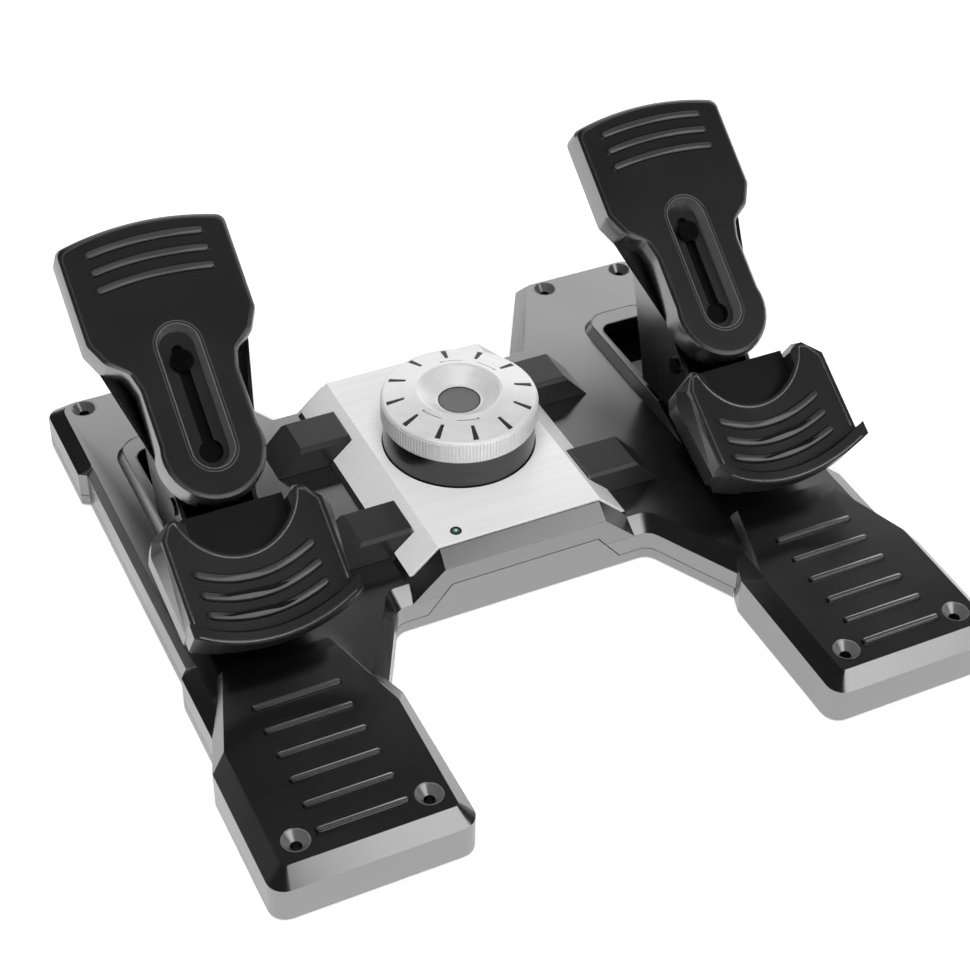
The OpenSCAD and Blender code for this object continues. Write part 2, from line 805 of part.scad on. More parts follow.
// Room for the board, from the rear post's flange to the wall behind
board_room = neck_y - 2 * wall - board_gap - bar_y[1] - post_flange_r - wall;
board_room_share = 0.659;
board_size = [76, board_room * board_room_share, 1.6];
board_stand = 3;
stand_in = 4;
stand_r = 2;
usb_size = [14, 10, 5];
usb_back = 12;

module circuit_board() {
    color(copper_green)
        translate([-board_size.x / 2, neck_y - 2 * wall - board_gap - board_size.y, floor_z]) {
            translate([0, 0, board_stand])
                cube(board_size);
            for (x = [stand_in, board_size.x - stand_in], y = [stand_in, board_size.y - stand_in])
                translate([x, y, 0])
                    cylinder(r = stand_r, h = board_stand);
        }
}

module usb_socket_block() {
    color(steel)
        translate([-usb_size.x / 2, neck_y - 2 * wall - board_gap - usb_back,
            floor_z + board_stand + board_size.z])
            cube(usb_size);
}

stem_rise = 0.5;
front_post_drop = 2.5;
front_bush_drop = 2;
post_cap_w = 4;
post_cap_t = 2;

module pivot_post(y, top) {
    color(steel)
        translate([0, y, 0]) {
            translate([0, 0, ground_gap + stem_rise]) cylinder(r = post_stem_r, h = floor_z);
            translate([0, 0, floor_z + wall / 2])
                cylinder(r = post_flange_r, h = hub_z[0] - gap - floor_z - wall / 2);
            translate([0, 0, floor_z + wall / 2]) cylinder(r = post_r, h = top - floor_z - wall / 2);
        }
}

module front_post() {
    pivot_post(bar_y[0], hub_z[1] - front_post_drop);
}

module rear_post() {
    pivot_post(bar_y[1], hub_z[1] + sector_t + gap);
}

module bush(y, top) {
    color(brass)
        translate([0, y, hub_z[0]])
            difference() {
                cylinder(r = bush_r, h = top - hub_z[0]);
                translate([0, 0, -over]) cylinder(r = post_r + run, h = top);
            }
}

module front_bush() {
    bush(bar_y[0], hub_z[1] - front_bush_drop);
}

module rear_bush() {
    bush(bar_y[1], hub_z[1]);
}

module rear_post_cap() {
    color(steel)
        translate([0, bar_y[1], hub_z[1] + sector_t + gap])
            cylinder(r = post_r + post_cap_w, h = post_cap_t);
}

hub_flat_share = 0.8;
hub_flat = hub_flat_share * hub_r;

// Flat bar with a hub in the middle and an eye at each end
module crossbar(y, bore_top) {
    difference() {
        translate([0, y, 0]) {
            translate([0, 0, bar_z])
                linear_extrude(height = bar_t)
                    polygon([[-pedal_x, -bar_w / 2], [-hub_r, -hub_flat], [hub_r, -hub_flat],
                        [pedal_x, -bar_w / 2], [pedal_x, bar_w / 2], [hub_r, hub_flat], [-hub_r, hub_flat],
                        [-pedal_x, bar_w / 2]]);
            translate([0, 0, hub_z[0]]) cylinder(r = hub_r, h = hub_z[1] - hub_z[0]);
            for (s = [-1, 1])
                translate([s * pedal_x, 0, bar_z]) cylinder(r = bar_w / 2, h = bar_t);
        }
        translate([0, y, hub_z[0] - over]) cylinder(r = bush_r + seat, h = bore_top - hub_z[0] + over);
        for (s = [-1, 1])
            translate([s * pedal_x, y, 0]) cylinder(r = pin_r + seat, h = dial_top);
    }
}

sensor_stub_r = 3;
sensor_stub_l = 8;
sensor_w = 18;
sensor_h = 7;

module front_bar() {
    color(steel) {
        crossbar(bar_y[0], hub_z[1] - front_bush_drop);
        translate([0, bar_y[0], hub_z[1] - over]) cylinder(r = sensor_stub_r, h = sensor_stub_l);
    }
}

module rear_bar() {
    color(steel)
        crossbar(bar_y[1], hub_z[1] + over);
}

sector_t = 2.5;
sector_r = 57;
sector_half = 28;

module friction_sector() {
    color(steel)
        translate([0, bar_y[1], hub_z[1]])
            difference() {
                union() {
                    cylinder(r = hub_r, h = sector_t);
                    intersection() {
                        cylinder(r = sector_r, h = sector_t);
                        linear_extrude(height = sector_t)
                            polygon([[-hub_flat, 0], [hub_flat, 0], [sector_r * tan(sector_half), -sector_r],
                                [-sector_r * tan(sector_half), -sector_r]]);
                    }
                }
                translate([0, 0, -over]) cylinder(r = post_r + 2 * gap, h = sector_t + 2 * over);
            }
}

pad_z = hub_z[1] + sector_t + gap;
pad_t = 3;
pad_r = 10;
thrust_z = pad_z + pad_t;

module friction_pad() {
    color(rubber)
        translate([0, mid_y, pad_z])
            cylinder(r = pad_r, h = pad_t);
}

module pad_spring() {
    color(steel)
        translate([0, mid_y, thrust_z])
            difference() {
                cylinder(r = spindle_r + pad_spring_t, h = spindle_z - thrust_z - gap);
                translate([0, 0, -over]) cylinder(r = spindle_r, h = spindle_z);
            }
}

pad_spring_t = 2;
spindle_z = 36;

module rudder_sensor() {
    color(grey)
        difference() {
            translate([-sensor_w / 2, bar_y[0] - sensor_w / 2, bracket_z + bracket_t])
                cube([sensor_w, sensor_w, sensor_h]);
            translate([0, bar_y[0], 0]) cylinder(r = sensor_stub_r + run, h = dial_top);
        }
}

bracket_z = hub_z[1] + gap;
bracket_t = 2;
bracket_reach = 22;
bracket_w = 16;

module sensor_bracket() {
    color(steel)
        difference() {
            union() {
                translate([-bracket_w / 2, bar_y[0] - bracket_reach, bracket_z])
                    cube([bracket_w, 2 * bracket_reach, bracket_t]);
                for (y = [-bracket_reach, bracket_reach - bracket_t])
                    translate([-bracket_w / 2, bar_y[0] + y, floor_z])
                        cube([bracket_w, bracket_t, bracket_z + bracket_t - floor_z]);
            }
            translate([0, bar_y[0], 0]) cylinder(r = sensor_stub_r + gap, h = dial_top);
        }
}

spring_r = [post_flange_r + wall + gap, post_flange_r + 2 * wall + gap];
spring_z = [floor_z + gap, hub_z[0] - gap];
spring_leg = 34;
spring_wire = 3;
stop_r = 4;

// Torsion coil round the front post, with one leg to each side of the bar
module centring_spring() {
    color(steel)
        translate([0, bar_y[0], spring_z[0]])
            difference() {
                union() {
                    cylinder(r = spring_r[1], h = spring_z[1] - spring_z[0]);
                    for (s = [-1, 1])
                        translate([s > 0 ? 0 : -spring_leg, -spring_r[1] + over, 0])
                            cube([spring_leg, spring_wire, spring_wire]);
                }
                translate([0, 0, -over]) cylinder(r = spring_r[0], h = spring_z[1]);
            }
}

module spring_stops() {
    color(grey)
        for (s = [-1, 1])
            translate([s * spring_leg, bar_y[0] - spring_r[1] + over + spring_wire / 2, floor_z])
                difference() {
                    cylinder(r = stop_r, h = spring_z[1] - floor_z);
                    translate([-2 * stop_r, -spring_wire / 2 - gap, gap])
                        cube([4 * stop_r, spring_wire + 2 * gap, spring_z[1]]);
                }
}

bush_out_r = 9;
bush_below = 2;

module spindle_bush() {
    color(brass)
        translate([0, mid_y, block_top - wall - bush_below])
            difference() {
                cylinder(r = bush_out_r, h = plate_top + 2 * wall - block_top + bush_below);
                translate([0, 0, -over]) cylinder(r = spindle_r + run, h = plate_top);
            }
}

module dial_drum() {
    color(drum_dark)
        difference() {
            translate([0, mid_y, plate_top])
                cylinder(r = drum_r, h = drum_h);
            translate([0, mid_y, plate_top + wall])
                cylinder(r = drum_r - wall, h = drum_h);
            translate([0, mid_y, 0])
                cylinder(r = bush_out_r + seat, h = dial_top);
        }
}

drum_h = dial_top - dial_rim_h - gap - plate_top;
dial_low = dial_top - dial_rim_h;
cap_t = 1.6;
cap_z = dial_top + dial_rise - bowl_depth;
mark_r = [32.5, 43.2];
mark_turn = 18.1;
mark_half = [1, 1.7];
mark_depth = 0.6;
dial_edge = [1, 0.8];
bowl_edge = [1, 0.6, 0.7];
cap_edge = [2, 0.8];
dial_skirt = [3, 5];
dial_hub = [4, 10];
dial_web = 4;
mark_tilt = atan((dial_rise - dial_edge.y) / (dial_r - dial_edge.x - bowl_r - bowl_edge[0]));
mark_drop = (mark_r[0] - bowl_r - bowl_edge[0]) * tan(mark_tilt) + mark_depth;

module tension_dial() {
    color(silver)
        translate([0, mid_y, 0])
            difference() {
                rotate_extrude($fn = 96)
                    polygon([[spindle_r + seat, dial_low - dial_hub.y],
                        [spindle_r + dial_hub.x, dial_low - dial_hub.y],
                        [spindle_r + dial_hub.x, cap_z - dial_web],
                        [dial_r - dial_skirt.x, dial_low + dial_skirt.y],
                        [dial_r - dial_skirt.x, dial_low], [dial_r, dial_low], [dial_r, dial_top],
                        [dial_r - dial_edge.x, dial_top + dial_edge.y],
                        [bowl_r + bowl_edge[0], dial_top + dial_rise],
                        [bowl_r - bowl_edge[1], dial_top + dial_rise - bowl_edge[2]],
                        [cap_r + cap_edge.x, cap_z + cap_edge.y], [cap_r + seat, cap_z],
                        [cap_r + seat, cap_z - cap_t], [spindle_r + seat, cap_z - cap_t]]);
                for (k = [0:dial_marks - 1])
                    rotate(k * 360 / dial_marks + mark_turn)
                        translate([mark_r[0], 0, dial_top + dial_rise - mark_drop])
                            rotate([0, mark_tilt, 0])
                                linear_extrude(height = 2 * over)
                                    polygon([[0, -mark_half[0]], [mark_r[1] - mark_r[0], -mark_half[1]],
                                        [mark_r[1] - mark_r[0], mark_half[1]], [0, mark_half[0]]]);
            }
}

module dial_cap() {
    color(grey)
        translate([0, mid_y, cap_z - cap_t])
            cylinder(r = cap_r, h = cap_t);
}

module dial_spindle() {
    color(steel)
        translate([0, mid_y, spindle_z])
            cylinder(r = spindle_r, h = cap_z - cap_t - spindle_z);
}

pin_head = [2, 2];
pin_past = 1.2;

module end_pins(y) {
    color(steel)
        for (s = [-1, 1])
            translate([s * pedal_x, y, 0]) {
                translate([0, 0, bar_z - pin_head.y]) cylinder(r = pin_r + pin_head.x, h = pin_head.y);
                translate([0, 0, bar_z - over])
                    cylinder(r = pin_r, h = bar_t + gap + foot_plate_t + pin_past + over);
            }
}

module front_pins() {
    end_pins(bar_y[0]);
}

module rear_pins() {
    end_pins(bar_y[1]);
}

// Side view of a pedal's upright above the slot, in shares of its height
fin_side_shares = [[0.11009, 0.34404], [0.6055, 0.34404], [0.65596, 0.51376], [0.70642, 0.66055],
    [0.75229, 0.80734], [0.80275, 0.93578], [0.86239, 1], [0.40367, 0.86239], [0.23853, 0.73394],
    [0.12844, 0.6422], [0.07339, 0.47706]];
// Side view of the part that carries the heel cup
saddle_side_shares = [[0.11009, 0.34404], [0.07339, 0.47706], [0.10092, 0.6789], [-0.02202, 0.82477],
    [-0.24312, 0.68807], [-0.52294, 0.51651], [-0.50459, 0.44954], [-0.22018, 0.34404]];
// Hollow of the upright, open at the top for the brake arm
fin_inside_shares = [[0.11927, 0.36789], [0.58716, 0.36789], [0.63303, 0.51376], [0.68257, 0.66055],
    [0.72844, 0.80734], [0.77615, 0.92661], [0.88073, 1.11927], [0.20183, 1.00917], [0.13394, 0.65138],
    [0.09725, 0.47706]];
fin_low = fin_side_shares[0].y * fin_h;
saddle_w = 58;
foot_plate_past = 12;
glide_x = 8;
glide_w = 7;
glide_l = 30;

module side_view(width) {
    translate([pedal_x + width / 2, 0, 0])
        rotate([90, 0, -90])
            mirror([1, 0, 0])
                linear_extrude(height = width)
                    children();
}

module carriage(side) {
    on_side(side)
        color(black)
            difference() {
                union() {
                    translate([pedal_x - neck_w / 2, bar_y[0] - foot_plate_past, foot_plate_z])
                        cube([neck_w, bar_gap + 2 * foot_plate_past, foot_plate_t]);
                    translate([pedal_x - neck_w / 2, neck_y_range[0], foot_plate_z])
                        cube([neck_w, neck_y_range[1] - neck_y_range[0], fin_low + fin_wall - foot_plate_z]);
                    side_view(fin_w) polygon(fin_side_shares * fin_h);
                    side_view(saddle_w) polygon(saddle_side_shares * fin_h);
                }
                side_view(fin_w - 2 * fin_wall) polygon(fin_inside_shares * fin_h);
                side_view(saddle_w - 2 * fin_wall) polygon(inset(saddle_side_shares * fin_h, fin_wall));
                translate([pedal_x, bar_y[0], 0]) cylinder(r = pin_r + gap, h = fin_low);
                translate([pedal_x, bar_y[1], 0]) cylinder(r = pin_r + run, h = fin_low);
                translate([pedal_x - base_w / 2, axle_y, axle_z])
                    rotate([0, 90, 0])
                        cylinder(r = axle_r + seat, h = base_w);
            }
}

module glide_pads(side) {
    on_side(side)
        color(silver)
            for (s = [-1, 1])
                translate([pedal_x + s * glide_x - glide_w / 2, mid_y - glide_l / 2, floor_z + gap])
                    cube([glide_w, glide_l, foot_plate_z - floor_z - gap]);
}

// Frame of a pedal's toe plate: X across, Y up the slope, Z out of the plate
module on_slope(side) {
    on_side(side)
        translate([pedal_x, key_y, key_z])
            rotate([toe_slope, 0, 0])
                children();
}

// Head and round foot of a toe plate, grown by g
function toe_outline(g) =
    let (head = toe_w / 2 + g, waist = toe_waist_w / 2 + g, lobe = toe_lobe_r + g,
        a0 = -180 - acos(waist / lobe), a1 = acos(waist / lobe),
        points = [[waist, toe_side_v[0]], [waist + toe_side_in[0], toe_side_v[1]],
            [head - toe_side_in[1], toe_side_v[2] - g / 2], [head, toe_side_v[3] - g / 2],
            for (k = [0:crown_steps - 1]) let (t = 1 - k / (crown_steps - 1 / 2))
                [head * t, toe_len + g - crown_r + sqrt(pow(crown_r, 2) - pow(toe_w / 2 * t, 2))]],
        radii = concat([2, 1, 1, 0.8, 0.7] * corner_r, [for (k = [1:crown_steps]) 0]),
        foot = [for (k = [0:lobe_steps]) let (b = a0 + (a1 - a0) * k / lobe_steps) lobe * [cos(b), sin(b)]],
        m = len(points), right = concat([foot[lobe_steps]], points, [flip(points[m - 1])]),
        head_right = [for (i = [1:m])
            each corner(right[i - 1], right[i], right[i + 1], radii[i - 1], toe_steps)],
        k = len(head_right))
    concat(foot, head_right, [for (i = [k - 1:-1:0]) flip(head_right[i])]);

// Body of a toe plate with a bevel round its top edge, drawn past its ends and cut level
module toe_body() {
    edge = skirt_out * toe_bevel_share;
    rings = [[skirt_out, -toe_depth - over], [skirt_out, -toe_bevel[0]], [edge, -toe_bevel[1]],
        [-toe_past, toe_bevel[1] * toe_past / edge]];
    difference() {
        loft([for (r = rings) lifted(toe_outline(r[0]), r[1])]);
        for (z = [0, -toe_depth - 2 * toe_len])
            translate([-toe_len, -toe_len, z])
                cube([2 * toe_len, 4 * toe_len, 2 * toe_len]);
    }
}

module toe_plate(side) {
    on_slope(side)
        color(black)
            difference() {
                union() {
                    toe_body();
                    for (v = toe_grip_v)
                        translate([0, 0, -wall])
                            linear_extrude(height = wall + grip_h)
                                polygon(bow([0, v - toe_arc_r], toe_arc_r, toe_bow, grip_half, 1));
                }
                difference() {
                    translate([0, 0, -toe_depth - over])
                        linear_extrude(height = toe_depth + over - toe_top_t)
                            polygon(toe_outline(skirt_out - wall));
                    translate([0, 0, -trough_depth - trough_floor])
                        linear_extrude(height = toe_depth)
                            polygon(slot_shape(trough_r + wall, 0, trough_l - trough_r));
                }
                translate([0, 0, -trough_depth])
                    linear_extrude(height = toe_depth)
                        polygon(slot_shape(trough_r, 0, trough_l - trough_r, lobe_steps / 2));
                translate([0, 0, -toe_depth])
                    linear_extrude(height = toe_depth)
                        polygon(slot_shape(clamp_r + 2 * gap, 0, clamp_v + slot_past));
                translate([0, 0, -toe_depth])
                    cylinder(r = key_r, h = toe_depth);
                translate([-arm_w / 2 - gap, -2 * toe_lobe_r, -2 * toe_depth - trough_depth - trough_floor])
                    cube([arm_w + 2 * gap, 2 * toe_lobe_r, 2 * toe_depth]);
            }
}

toe_side_v = [40, 51, 60, 72];
toe_side_in = [3, 6];
// Drop of the top edge's arc at its two ends
toe_crown = 7;
crown_r = (pow(toe_w / 2, 2) + pow(toe_crown, 2)) / (2 * toe_crown);
crown_steps = 9;
toe_bevel = [4, 1.2];
toe_past = 0.5;
// Share of the skirt's spread that is left at the middle line of the bevel
toe_bevel_share = 0.6;
toe_top_t = 4.5;
slot_past = 7;
toe_steps = 5;
lobe_steps = 20;
key_r = 6.6;
toe_grip_v = [123, 112.5, 102];
toe_grip_half = 32.8;
toe_arc_r = 190;
toe_bow = asin(toe_grip_half / toe_arc_r);

module on_cup(side) {
    on_slope(side)
        translate([0, cup_v, cup_h])
            rotate([cup_tilt, 0, 0])
                children();
}

cup_centre = -cup_v;
cup_low_r = 104;
cup_arc_y = 51;
cup_arc_r = 34;
cup_tip_y = 43.5;
cup_tip_w = 2.8;
cup_side_y = 33;
lip_t = 6;
cup_skirt = 2.4;
cup_grip_half = 32.5;
cup_ridge_r = [73.4, 84, 94.4];
cup_steps = 16;

// Outline of a heel cup in its own plane, moved inwards by d
function cup_outline(d) =
    let (half = cup_w / 2 - d, low = cup_low_r + lip_t - d, a = asin(half / low),
        r = cup_arc_r + d, tip = asin((cup_tip_y - d - cup_arc_y) / r), s = cup_steps)
    concat(
        [for (k = [0:s]) [0, cup_centre] + low * spoke(a * (2 * k / s - 1), -1)],
        [[half, cup_side_y - d / 2], [cup_arc_r + cup_tip_w - d / 2, cup_tip_y - d]],
        [for (k = [0:s]) let (b = tip - (180 + 2 * tip) * k / s) [0, cup_arc_y] + r * [cos(b), sin(b)]],
        [[d / 2 - cup_tip_w - cup_arc_r, cup_tip_y - d], [-half, cup_side_y - d / 2]]);

cup_reach_z = 30;
cup_flare = 6;
cup_panel_in = 6;
cup_panel_low = 11;
cup_panel_y = [29, 40, 37, 46];
cup_edge_in = 1;
cup_corner_r = 6;
// Share of that radius at the tread's edge
cup_corner_share = 0.4;
cup_bed_gap = 0.2;
cup_bevel_z = [0, 7];

module cup_slab(d) {
    translate([0, 0, -cup_side])
        linear_extrude(height = cup_side + cup_reach_z)
            polygon(cup_outline(d));
}

// Side panels that flare out towards the toes, with a bevel down to them from the tread's edge
module cup_sides(t) {
    half = cup_w / 2 - t;
    low = -cup_low_r + cup_centre - lip_t / 3;
    in_x = cup_arc_r - t - cup_panel_in;
    outline = [[half + cup_skirt, low + cup_panel_low], [half + cup_flare, cup_panel_y[0]],
        [half + cup_flare - cup_flare / 2, cup_panel_y[2]], [cup_arc_r - t, cup_panel_y[3]],
        [in_x, cup_panel_y[1]], [in_x, low]];
    inner = [[half, low + cup_panel_low], [half, cup_panel_y[0]],
        [half - cup_edge_in, cup_side_y - t / 2], [cup_arc_r + cup_tip_w / 2 - t, cup_tip_y - t / 2],
        [in_x + cup_edge_in, cup_panel_y[1]], [in_x, low + over]];
    radii = [0, 1, 0.5, 0, 0, 0] * cup_corner_r;
    wide = rounded(outline, radii);
    near = rounded(inner, radii * cup_corner_share);
    mirrored()
        loft([lifted(wide, -cup_side), lifted(wide, cup_bevel_z[0] - t), lifted(near, cup_bevel_z[1] - t)]);
}

// The tread's curved surface, as a cylinder t away from it
module bend(t) {
    translate([0, 0, cup_bend_r])
        rotate([90, 0, 0])
            cylinder(r = cup_bend_r + t, h = base_d, center = true, $fn = 180);
}

module heel_cup(side) {
    on_cup(side)
        color(black) {
            difference() {
                union() {
                    cup_slab(0);
                    cup_sides(0);
                }
                bend(0);
                difference() {
                    translate([0, 0, -over]) cup_slab(wall);
                    bend(cup_t);
                }
                translate([-saddle_w / 2 - gap, -cup_low_r, -2 * cup_side - cup_t + cup_bed_gap])
                    cube([saddle_w + 2 * gap, 2 * cup_low_r, 2 * cup_side]);
            }
            difference() {
                translate([0, 0, -cup_t / 2])
                    linear_extrude(height = cup_t / 2 + cup_reach_z)
                        for (r = cup_ridge_r)
                            polygon(bow([0, cup_centre], r, asin(cup_grip_half / r), grip_half, -1));
                bend(-grip_h);
            }
            lip();
        }
}

// The turned-up lip along the tread's low edge
module lip() {
    half = cup_w / 2 + cup_skirt - gap;
    low = cup_low_r + lip_t + cup_skirt / 2;
    a = asin(half / low);
    b = asin(half / cup_low_r);
    difference() {
        translate([0, 0, -cup_side / 2])
            linear_extrude(height = cup_side / 2 + cup_reach_z)
                polygon(concat(
                    [for (k = [0:cup_steps])
                        [0, cup_centre] + low * spoke(a * (2 * k / cup_steps - 1), -1)],
                    [for (k = [0:cup_steps])
                        [0, cup_centre] + cup_low_r * spoke(b * (1 - 2 * k / cup_steps), -1)]));
        bend(-lip_h);
    }
}

axle_head = [1.8, 1.6];

module brake_axle(side) {
    on_side(side)
        color(steel)
            translate([pedal_x - fin_w / 2, axle_y, axle_z])
                rotate([0, 90, 0]) {
                    cylinder(r = axle_r, h = fin_w);
                    for (z = [-axle_head.y, fin_w])
                        translate([0, 0, z]) cylinder(r = axle_r + axle_head.x, h = axle_head.y);
                }
}

arm_w = 30;
arm_v = [-12, 64];
arm_cheek = [[-22, -34], [-20, -45], [-12, -46]];
arm_cheek_in = 14;
arm_boss_t = 3.5;
arm_window = [7, 5];
arm_top = -trough_depth - trough_floor - arm_gap;

module brake_arm(side) {
    on_side(side)
        color(grey)
            difference() {
                union() {
                    pedal_frame() {
                        translate([-arm_w / 2, arm_v[0], arm_top - arm_t])
                            cube([arm_w, arm_v[1] - arm_v[0], arm_t]);
                        for (s = [-1, 1])
                            translate([s * (arm_w / 2 - wall / 2), 0, 0])
                                rotate([90, 0, 90])
                                    linear_extrude(height = wall, center = true)
                                        polygon(concat([[arm_v[0], arm_top - over]], arm_cheek,
                                            [[arm_v[1] - arm_cheek_in, arm_top - over]]));
                    }
                    translate([pedal_x - arm_w / 2, axle_y, axle_z])
                        rotate([0, 90, 0])
                            cylinder(r = axle_r + arm_boss_t, h = arm_w);
                }
                translate([pedal_x - base_w / 2, axle_y, axle_z])
                    rotate([0, 90, 0])
                        cylinder(r = axle_r + run, h = base_w);
                translate([pedal_x, axle_y, axle_z])
                    cube(2 * [arm_window.x, axle_r + arm_window.y, axle_r + arm_window.y], center = true);
                pedal_frame()
                    translate([0, clamp_v, arm_top - arm_t - over])
                        cylinder(r = clamp_r + seat, h = arm_t + 2 * over);
            }
}

module pedal_frame() {
    translate([pedal_x, key_y, key_z])
        rotate([toe_slope, 0, 0])
            children();
}

brake_spring_l = 13;
brake_spring_t = 2.4;
brake_sensor_size = [16, 14];
clamp_head = [6.4, 3.4];
clamp_nut = [5, 3];
clamp_past = 2;
clamp_seat = 1;

module brake_spring(side) {
    on_side(side)
        color(steel)
            translate([pedal_x - brake_spring_l / 2, axle_y, axle_z])
                rotate([0, 90, 0])
                    difference() {
                        cylinder(r = axle_r + brake_spring_t, h = brake_spring_l);
                        translate([0, 0, -over]) cylinder(r = axle_r + gap, h = brake_spring_l + 2 * over);
                    }
}

module brake_sensor(side) {
    on_side(side)
        color(grey)
            difference() {
                translate([pedal_x - fin_w / 2 + fin_wall, axle_y - brake_sensor_size[0] / 2,
                    axle_z - brake_sensor_size[1] / 2])
                    cube([fin_w / 2 - fin_wall - arm_w / 2 - gap, brake_sensor_size[0], brake_sensor_size[1]]);
                translate([pedal_x - base_w / 2, axle_y, axle_z])
                    rotate([0, 90, 0])
                        cylinder(r = axle_r + run, h = base_w);
            }
}

module clamp_screw(side) {
    on_slope(side)
        color(steel)
            translate([0, clamp_v, 0]) {
                translate([0, 0, arm_top - arm_t - clamp_past])
                    cylinder(r = clamp_r, h = -arm_top + arm_t + clamp_past - trough_depth + gap + clamp_seat);
                translate([0, 0, gap - trough_depth]) cylinder(r = clamp_head.x, h = clamp_head.y);
                translate([0, 0, arm_top - arm_t - clamp_nut.y])
                    cylinder(r = clamp_nut.x, h = clamp_nut.y, $fn = 6);
            }
}

base_tray();
top_shell();
centre_housing();
footrest_shell(-1);  // footrest_left
footrest_shell(1);  // footrest_right
centre_plate();
power_lens();
rubber_feet();
case_screws();
cable_gland();
circuit_board();
usb_socket_block();
front_post();
rear_post();
front_bush();
rear_bush();
rear_post_cap();
front_bar();
rear_bar();
friction_sector();
friction_pad();
pad_spring();
rudder_sensor();
sensor_bracket();
centring_spring();
spring_stops();
spindle_bush();
dial_drum();
tension_dial();
dial_cap();
dial_spindle();
front_pins();
rear_pins();
carriage(-1);  // carriage_left
carriage(1);  // carriage_right
glide_pads(-1);  // glide_pads_left
glide_pads(1);  // glide_pads_right
heel_cup(-1);  // heel_cup_left
heel_cup(1);  // heel_cup_right
brake_axle(-1);  // brake_axle_left
brake_axle(1);  // brake_axle_right
brake_arm(-1);  // brake_arm_left
brake_arm(1);  // brake_arm_right
brake_spring(-1);  // brake_spring_left
brake_spring(1);  // brake_spring_right
brake_sensor(-1);  // brake_sensor_left
brake_sensor(1);  // brake_sensor_right
toe_plate(-1);  // toe_plate_left
toe_plate(1);  // toe_plate_right
clamp_screw(-1);  // clamp_screw_left
clamp_screw(1);  // clamp_screw_right
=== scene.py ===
"""Flight simulator rudder pedals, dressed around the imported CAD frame.

Metres, in the CAD frame: X to the right, Y away from the heels, Z up, the ground at Z = 0.
Named sizes and places of pieces are in millimetres, as in the part's source, and MM makes them metres.
"""

import json
import math

import bmesh
import bpy
from mathutils import Matrix, Vector

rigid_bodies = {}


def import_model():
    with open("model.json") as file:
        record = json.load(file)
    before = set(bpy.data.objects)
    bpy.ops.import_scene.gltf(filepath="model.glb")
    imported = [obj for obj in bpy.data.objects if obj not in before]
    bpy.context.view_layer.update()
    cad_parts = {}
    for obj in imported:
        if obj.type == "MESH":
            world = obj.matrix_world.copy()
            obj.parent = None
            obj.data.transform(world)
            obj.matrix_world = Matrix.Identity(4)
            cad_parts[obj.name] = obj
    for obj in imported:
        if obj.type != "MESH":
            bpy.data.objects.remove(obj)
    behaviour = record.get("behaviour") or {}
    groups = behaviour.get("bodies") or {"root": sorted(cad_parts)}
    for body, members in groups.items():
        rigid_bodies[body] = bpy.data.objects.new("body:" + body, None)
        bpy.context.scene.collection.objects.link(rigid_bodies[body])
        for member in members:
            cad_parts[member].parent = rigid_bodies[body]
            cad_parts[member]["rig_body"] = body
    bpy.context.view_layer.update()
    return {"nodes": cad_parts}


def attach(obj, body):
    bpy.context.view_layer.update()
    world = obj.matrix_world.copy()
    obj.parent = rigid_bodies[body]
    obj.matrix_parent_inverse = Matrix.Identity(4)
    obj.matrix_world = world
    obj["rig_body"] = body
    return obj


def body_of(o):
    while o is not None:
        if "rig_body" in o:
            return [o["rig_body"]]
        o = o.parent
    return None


MM = 0.001
SIDES = {"left": -1, "right": 1}

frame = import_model()
nodes = frame["nodes"]


# Camera: its place, axes and lens, from the photograph's vanishing points
CAMERA_AT = Vector((-406.33, -803.12, 805.56)) * MM
CAMERA_RIGHT = Vector((0.90178, -0.43174, 0.02004))
CAMERA_FORWARD = Vector((0.34200, 0.68446, -0.64386))
CAMERA_LENS = 76.073
CAMERA_SENSOR = 36.0


def make_camera():
    data = bpy.data.cameras.new("camera")
    data.lens = CAMERA_LENS
    data.sensor_width = CAMERA_SENSOR
    camera = bpy.data.objects.new("camera", data)
    bpy.context.scene.collection.objects.link(camera)
    forward = CAMERA_FORWARD.normalized()
    right = (CAMERA_RIGHT - forward * CAMERA_RIGHT.dot(forward)).normalized()
    up = right.cross(forward)
    turn = Matrix((right, up, -forward)).transposed().to_4x4()
    camera.matrix_world = Matrix.Translation(CAMERA_AT) @ turn
    bpy.context.scene.camera = camera


